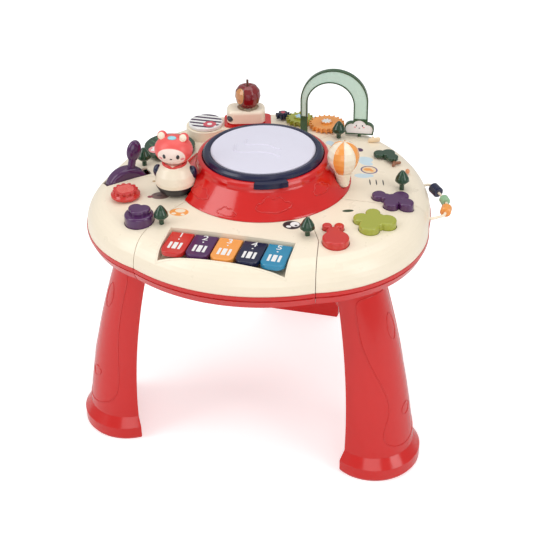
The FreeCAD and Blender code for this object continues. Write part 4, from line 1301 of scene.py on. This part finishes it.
@dataclass
class Animal:
    """Small round animal with a plain face of a general kind."""

    at: Pair = (-98.0, -58.0)
    head_level: float = 397.5
    head_half: Triple = (24.0, 21.0, 18.5)
    look_deg: float = 8.0

    def on_head(self, side_deg: float, rise_deg: float, lift: float) -> tuple[Array, Array]:
        """Point and normal on the head's ellipsoid at a side angle and a rise angle.

        Args:
            side_deg: Direction on the head or body, in degrees.
            rise_deg: Rise above the level, in degrees.
            lift: Distance off the surface.
        Returns:
            Point and normal.
        """
        a, e = math.radians(side_deg + self.look_deg), math.radians(rise_deg)
        direction = np.array([math.sin(a) * math.cos(e), -math.cos(a) * math.cos(e), math.sin(e)])
        half = np.array(self.head_half)
        point = direction * half
        normal = unit(point / half ** 2)
        return np.array([*self.at, self.head_level]) + point + normal * lift, normal

    def feature(self, name: str, side_deg: float, rise_deg: float, size: Triple,
                material: Material) -> None:
        """Small domed oval that lies on the head.

        Args:
            name: Name of the piece.
            side_deg, rise_deg: Where it lies.
            size: Half width, half height and bulge.
            material: Finish.
        """
        origin, normal = self.on_head(side_deg, rise_deg, 0.0)
        across = unit(np.cross([0.0, 0.0, 1.0], normal))
        up = np.cross(normal, across)
        t = np.linspace(-0.5 * math.pi, 0.5 * math.pi, 11)[:, None]
        s = np.linspace(0.0, TAU, 20, endpoint=False)[None, :]
        flat_x, flat_y = size[0] * np.cos(t) * np.cos(s), size[1] * np.cos(t) * np.sin(s)
        bulge = size[2] * np.sin(t) + 0 * s
        rows = origin + flat_x[..., None] * across + flat_y[..., None] * up + bulge[..., None] * normal
        make_grid(name, rows, material, "figure")

    def arm(self, name: str, side_deg: float, material: Material) -> None:
        """Stubby arm: an ellipsoid against the body.

        Args:
            name: Name of the piece.
            side_deg: Direction on the head or body, in degrees.
            material: Material of the piece.
        """
        a = math.radians(side_deg)
        out = np.array([math.sin(a), -math.cos(a), 0.0])
        centre = np.array([*self.at, 366.0]) + out * 21.5
        t = np.linspace(-0.5 * math.pi, 0.5 * math.pi, 15)[:, None]
        s = np.linspace(0.0, TAU, 28, endpoint=False)[None, :]
        aside = np.array([-out[1], out[0], 0.0])
        rows = (centre + (6.2 * np.cos(t) * np.cos(s))[..., None] * out
                + (5.8 * np.cos(t) * np.sin(s))[..., None] * aside
                + (9.2 * np.sin(t) + 0 * s)[..., None] * np.array([0.0, 0.0, 1.0]))
        make_grid(name, rows, material, "figure")

    def build(self, effects: Effects) -> None:
        """Dresses head and body and adds the face, arms, scarf and tuft.

        Args:
            effects: The shared groups.
        """
        x, y = self.at
        a = math.radians(self.look_deg)
        front = np.array([math.sin(a), -math.cos(a)])
        face = ((x + 15.5 * front[0], y + 15.5 * front[1], 394.5), (17.5, 11.5, 12.6), srgb(248, 226, 214))
        inner_ears = tuple(((x + s * 14.0, y - 3.0, 415.5), (4.6, 4.6, 4.6), CREAM) for s in (-1.0, 1.0))
        cheeks = tuple(((*self.on_head(s * 36.0, -14.0, 0.0)[0],), (2.6, 2.6, 1.7), PINK)
                       for s in (-1.0, 1.0))
        coral = Plastic("coral_satin", CORAL, roughness=0.34, relief=Relief.SATIN, tone=0.08, coat=0.1)
        paint_nodes(coral.material(effects, Balls((face, *inner_ears, *cheeks))), "figure_head")
        body = Plastic("body_cream", CREAM, roughness=0.30, relief=Relief.SATIN, tone=0.06, coat=0.15)
        paint_nodes(body.material(effects, Heights(352.5, INK, above=False)), "figure_body")
        ink = Plastic("eye_dark", INK, roughness=0.12, coat=0.6).material(effects)
        for side, name in ((-1.0, "left"), (1.0, "right")):
            self.feature(f"eye_{name}", side * 21.0, -3.0, (2.1, 3.1, 0.6), ink)
        self.feature("nose", 0.0, -12.0, (1.6, 1.0, 0.7), ink)
        navy = Plastic("arm_navy", NAVY, roughness=0.22, coat=0.35).material(effects)
        self.arm("arm_left", -82.0, navy)
        self.arm("arm_right", 98.0, navy)
        red = Plastic("scarf_red", srgb(214, 58, 52), roughness=0.32, relief=Relief.SATIN).material(effects)
        t = np.linspace(0.0, TAU, 72, endpoint=False)
        dip = 2.2 * np.exp(-((np.degrees(t) - 270.0 - self.look_deg) / 16.0) ** 2)
        ring = np.stack([x + 14.0 * np.cos(t), y + 14.0 * np.sin(t), 379.4 - dip], axis=1)
        outwards = np.stack([np.cos(t), np.sin(t), 0 * t], axis=1)
        rows = ridge_rows(ring, outwards, 1.9, 1.8, True, 12)
        make_grid("scarf", rows, red, "figure", True)
        sky = Plastic("tuft_blue", srgb(150, 214, 226), roughness=0.3, relief=Relief.SATIN).material(effects)
        self.feature("tuft", 0.0, 74.0, (5.6, 3.6, 1.6), sky)


@dataclass
class Balloon:
    """Orange and cream balloon over its basket."""

    at: Pair = (104.0, -2.0)
    profile: tuple[Pair, ...] = ((0.6, 403.5), (6.5, 402.4), (12.6, 399.0), (17.2, 393.4),
                                                (19.5, 386.0), (19.2, 379.0), (16.6, 371.6), (12.6, 365.4),
                                                (9.8, 362.2))
    gores: int = 8
    phase_deg: float = -29.5

    def build(self, effects: Effects) -> None:
        """Paints the gores and adds a seam ridge between each two, and the basket's rim and weave.

        Args:
            effects: The shared groups.
        """
        cream = Plastic("balloon_cream", CREAM, roughness=0.22, coat=0.35, edge_mm=0.6)
        paint_nodes(cream.material(effects, Gores(self.at, self.gores, ORANGE, self.phase_deg)), "balloon")
        basket = Plastic("basket_cream", CREAM, roughness=0.34, relief=Relief.SATIN, coat=0.1)
        wicker = basket.material(effects)
        paint_nodes(wicker, "balloon_basket")
        seam = Plastic("balloon_seam", CREAM, roughness=0.22, coat=0.35).material(effects)
        line = resample(through_points(np.array(self.profile)), 1.6)
        for k in range(self.gores):
            a = TAU * k / self.gores + math.radians(self.phase_deg)
            out = np.array([math.cos(a), math.sin(a), 0.0])
            points = np.array([*self.at, 0.0]) + line[:, :1] * out + line[:, 1:] * np.array([0.0, 0.0, 1.0])
            slope = np.gradient(line, axis=0)
            normal = unit(-slope[:, 1:] * out + slope[:, :1] * np.array([0.0, 0.0, 1.0]))
            rows = ridge_rows(points, normal, 0.45, 0.35, False, 8)
            make_grid(f"balloon_seam_{k + 1}", rows, seam, "balloon")
        t = np.linspace(0.0, TAU, 48, endpoint=False)
        outwards = np.stack([np.cos(t), np.sin(t), 0 * t], axis=1)
        for k, (radius, level) in enumerate(((8.9, 356.2), (8.1, 351.2), (7.4, 346.6))):
            ring = np.array([*self.at, level]) + radius * outwards
            rows = ridge_rows(ring, outwards, 0.7, 0.6, True, 8)
            make_grid(f"basket_band_{k + 1}", rows, wicker, "balloon", True)


@dataclass
class RainbowArch:
    """Mint arch with a green border and a small plain cloud face."""

    centre: Pair = (54.0, 153.5)
    heading_deg: float = 6.4
    cloud: tuple[Triple, ...] = ((28.0, 345.0, 9.5), (39.0, 348.0, 11.5), (50.0, 344.5, 9.0))
    face_depth: float = 2.7

    def place(self, along: float, height: float, side: float) -> Place:
        """A place on the arch's front (-1) or back (1) face.

        Args:
            along: Distance along the arch.
            height: Height, in millimetres.
            side: -1.0 for the front, 1.0 for the back.
        Returns:
            The place.
        """
        a = math.radians(self.heading_deg)
        forward = np.array([math.cos(a), math.sin(a), 0.0])
        back = np.array([-math.sin(a), math.cos(a), 0.0])
        origin = np.array([*self.centre, height]) + forward * along + back * side * self.face_depth
        return Place(tuple(origin), tuple(-side * forward), (0.0, 0.0, 1.0))

    def build(self, effects: Effects) -> None:
        """Dresses the arch and lays the cloud's face on both sides.

        Args:
            effects: The shared groups.
        """
        green = Plastic("arch_green", ARCH_GREEN, roughness=0.24, tone=0.12, coat=0.3).material(effects)
        paint_nodes(green, "rainbow_frame")
        a = math.radians(self.heading_deg)
        puffs = []
        for along, height, radius in self.cloud:
            x, y = self.centre[0] + along * math.cos(a), self.centre[1] + along * math.sin(a)
            puffs.append(((x, y, height - 2.0), (radius + 1.5, 30.0, radius + 3.0), srgb(246, 244, 244)))
        mint = Plastic("mint_print", MINT, roughness=0.28, tone=0.08, coat=0.25)
        paint_nodes(mint.material(effects, Balls(tuple(puffs))), "rainbow_panel")
        ink = Plastic("face_ink", INK, roughness=0.3, coat=0.1).material(effects)
        blush = Plastic("face_blush", PINK, roughness=0.3, coat=0.1).material(effects)
        marks = (("eye_a", -4.2, 350.0, 0.8, 1.3, ink), ("eye_b", 4.2, 350.0, 0.8, 1.3, ink),
                 ("mouth", 0.0, 346.4, 1.2, 0.5, ink), ("cheek_a", -6.0, 347.6, 1.6, 0.8, blush),
                 ("cheek_b", 6.0, 347.6, 1.6, 0.8, blush))
        for side, where in ((-1.0, "front"), (1.0, "back")):
            for name, along, height, rx, ry, material in marks:
                at = self.place(self.cloud[1][0] + along, height, side)
                make_plate(f"cloud_{name}_{where}", ellipse(rx, ry, steps=20), 0.2, 0.1, at, material, "root",
                           "green_plastic")


@dataclass
class SmallReliefs:
    """Low pieces moulded on the top: a twig, the bush's trunk and a stump."""

    twig: tuple[Pair, ...] = ((108.0, 140.0), (114.0, 143.0), (124.0, 148.0))
    trunk: tuple[Pair, ...] = ((150.0, 92.0), (155.0, 84.0), (154.0, 76.0))
    level: float = 337.2

    def limb(self, name: str, points: Array, half_width: float, height: float, material: Material) -> None:
        """Rounded limb that lies on the top.

        Args:
            name: Name of the piece.
            points: Points of its middle line.
            half_width: Half of its width.
            height: Height above the top.
            material: Material of the piece.
        """
        path = resample(smooth_path(points), 1.0)
        solid = np.column_stack([path, np.full(len(path), self.level - 0.6)])
        normals = np.broadcast_to([0.0, 0.0, 1.0], solid.shape)
        make_grid(name, ridge_rows(solid, normals, half_width, height, False, 12), material, "root")

    def build(self, effects: Effects) -> None:
        """Builds the limbs and the stump.

        Args:
            effects: The shared groups.
        """
        cream = Plastic("twig_cream", srgb(240, 214, 176), roughness=0.32,
                        relief=Relief.SATIN).material(effects)
        brown = Plastic("trunk_brown", BROWN, roughness=0.3, relief=Relief.SATIN).material(effects)
        tan = Plastic("stump_tan", srgb(224, 150, 104), roughness=0.3, relief=Relief.SATIN).material(effects)
        twig = np.array(self.twig)
        self.limb("twig_long", twig, 2.2, 3.4, cream)
        self.limb("twig_short", np.array([twig[1], twig[1] + (-1.0, 8.0)]), 1.8, 3.0, cream)
        trunk = np.array(self.trunk)
        self.limb("bush_trunk", trunk, 2.4, 2.6, brown)
        self.limb("bush_branch", np.array([trunk[1], trunk[1] + (8.0, 3.0)]), 1.8, 2.2, brown)
        self.limb("stump", np.array([(172.0, 64.0), (178.0, 66.0)]), 4.2, 3.4, tan)


@dataclass
class Underside:
    """Centre plate, battery door and the parts inside."""

    def build(self, effects: Effects) -> None:
        """Dresses them.

        Args:
            effects: The shared groups.
        """
        red = Plastic("red_satin", RED, roughness=0.36, relief=Relief.MATT, tone=0.08,
                      coat=0.05).material(effects)
        paint_nodes(red, "centre_base", "battery_door")
        steel = Plastic("plated_steel", srgb(170, 172, 178), roughness=0.30, tone=0.2, coat=0.0)
        metal = steel.material(effects)
        metal.node_tree.nodes["Principled BSDF"].inputs["Metallic"].default_value = 1.0
        paint_nodes(metal, "battery_cells", "plate_screws")
        board = Plastic("board_green", srgb(30, 92, 58), roughness=0.4)
        paint_nodes(board.material(effects), "circuit_board")
        black = Plastic("speaker_black", INK, roughness=0.5, relief=Relief.MATT)
        paint_nodes(black.material(effects), "speaker")


@dataclass
class Studio:
    """Pale floor, soft lamps and the camera of the photograph."""

    azimuth_deg: float = 15.37
    elevation_deg: float = 33.01
    distance: float = 1.585
    aim_side: float = 0.0125
    aim_height: float = 0.1906
    roll_deg: float = -0.91
    focal_share: float = 1175.0 / 550.0
    lamps: tuple[tuple[str, Triple, Pair, float], ...] = (
        ("window_left", (-1.5, -0.9, 1.5), (1.0, 1.6), 14.0),
        ("window_right", (1.7, -0.7, 1.2), (0.8, 1.4), 9.5),
        ("front_fill", (0.5, -2.2, 0.9), (1.6, 1.2), 9.0),
        ("overhead", (0.1, 0.3, 2.2), (2.0, 2.0), 15.0),
    )

    def camera(self) -> None:
        """Camera that looks back along the unit vector given by azimuth and elevation, rolled a little."""
        a, e, r = (math.radians(v) for v in (self.azimuth_deg, self.elevation_deg, self.roll_deg))
        back = Vector((math.sin(a) * math.cos(e), -math.cos(a) * math.cos(e), math.sin(e)))
        right = Vector((math.cos(a), math.sin(a), 0.0))
        up = back.cross(right)
        rolled_right = right * math.cos(r) + up * math.sin(r)
        rolled_up = up * math.cos(r) - right * math.sin(r)
        data = bpy.data.cameras.new("camera")
        data.sensor_width = 36.0
        data.sensor_fit = "HORIZONTAL"
        data.lens = 36.0 * self.focal_share
        camera = bpy.data.objects.new("camera", data)
        turn = Matrix((rolled_right, rolled_up, back)).transposed().to_4x4()
        place = right * self.aim_side + Vector((0.0, 0.0, self.aim_height)) + back * self.distance
        camera.matrix_world = Matrix.Translation(place) @ turn
        bpy.context.scene.collection.objects.link(camera)
        bpy.context.scene.camera = camera

    def light(self) -> None:
        """Rectangular lamps turned towards the table, and an even pale surround."""
        for name, place, size, power in self.lamps:
            data = bpy.data.lights.new(name, "AREA")
            data.shape = "RECTANGLE"
            data.size, data.size_y = size
            data.energy = power
            lamp = bpy.data.objects.new(name, data)
            aim = Vector((0.0, 0.0, 0.25)) - Vector(place)
            lamp.matrix_world = Matrix.Translation(place) @ aim.to_track_quat("-Z", "Y").to_matrix().to_4x4()
            bpy.context.scene.collection.objects.link(lamp)
        world = bpy.data.worlds.new("surround")
        world.use_nodes = True
        w = Wiring(world.node_tree)
        back = world.node_tree.nodes["Background"]
        back.inputs["Color"].default_value = (1.0, 1.0, 1.0, 1.0)
        rays = w.node("ShaderNodeLightPath")
        w.feed(back.inputs["Strength"], w.math("MULTIPLY_ADD", rays.outputs["Is Camera Ray"], 0.52, 0.48))
        bpy.context.scene.world = world
        bpy.context.scene.view_settings.view_transform = "Standard"

    def floor(self) -> None:
        """Large pale disc that keeps the shadow: white to the camera, faded by a diffuse share."""
        mesh = bpy.data.meshes.new("floor")
        ring = np.array([(6.0 * math.cos(t), 6.0 * math.sin(t), 0.0) for t in np.linspace(0.0, TAU, 64)[:-1]])
        mesh.from_pydata(ring.tolist(), [], [list(range(len(ring)))])
        obj = bpy.data.objects.new("floor", mesh)
        bpy.context.scene.collection.objects.link(obj)
        made = bpy.data.materials.new("floor_white")
        made.use_nodes = True
        w = Wiring(made.node_tree)
        shader = made.node_tree.nodes["Principled BSDF"]
        at = w.node("ShaderNodeTexCoord").outputs["Object"]
        shade = w.blend(w.noise(at, 3.0), (0.90, 0.90, 0.90), (0.94, 0.94, 0.94))
        w.feed(shader.inputs["Base Color"], shade)
        shader.inputs["Roughness"].default_value = 0.9
        shader.inputs["Specular IOR Level"].default_value = 0.1
        glow = w.node("ShaderNodeEmission")
        glow.inputs["Color"].default_value = (1.0, 1.0, 1.0, 1.0)
        rays = w.node("ShaderNodeLightPath")
        w.feed(glow.inputs["Strength"], w.math("MULTIPLY", rays.outputs["Is Camera Ray"], 0.46))
        both = w.node("ShaderNodeAddShader")
        w.feed(both.inputs[0], shader.outputs[0])
        w.feed(both.inputs[1], glow.outputs[0])
        w.feed(made.node_tree.nodes["Material Output"].inputs["Surface"], both.outputs[0])
        mesh.materials.append(made)

    def build(self) -> None:
        """Sets up camera, lamps and floor."""
        self.camera()
        self.light()
        self.floor()


def main() -> None:
    """Builds every sub-assembly in order."""
    logging.basicConfig(level=logging.INFO, format="%(message)s")
    Studio().build()
    effects = Effects()
    for part in (Tabletop(), Legs(), Keyboard(), Drum(), PlayPieces(), CarAndApple(), Animal(), Balloon(),
                 RainbowArch(), SmallReliefs(), Underside()):
        before = len(bpy.data.objects)
        part.build(effects)
        LOG.info("%s: %d new pieces", type(part).__name__, len(bpy.data.objects) - before)


if __name__ == "__main__":
    main()
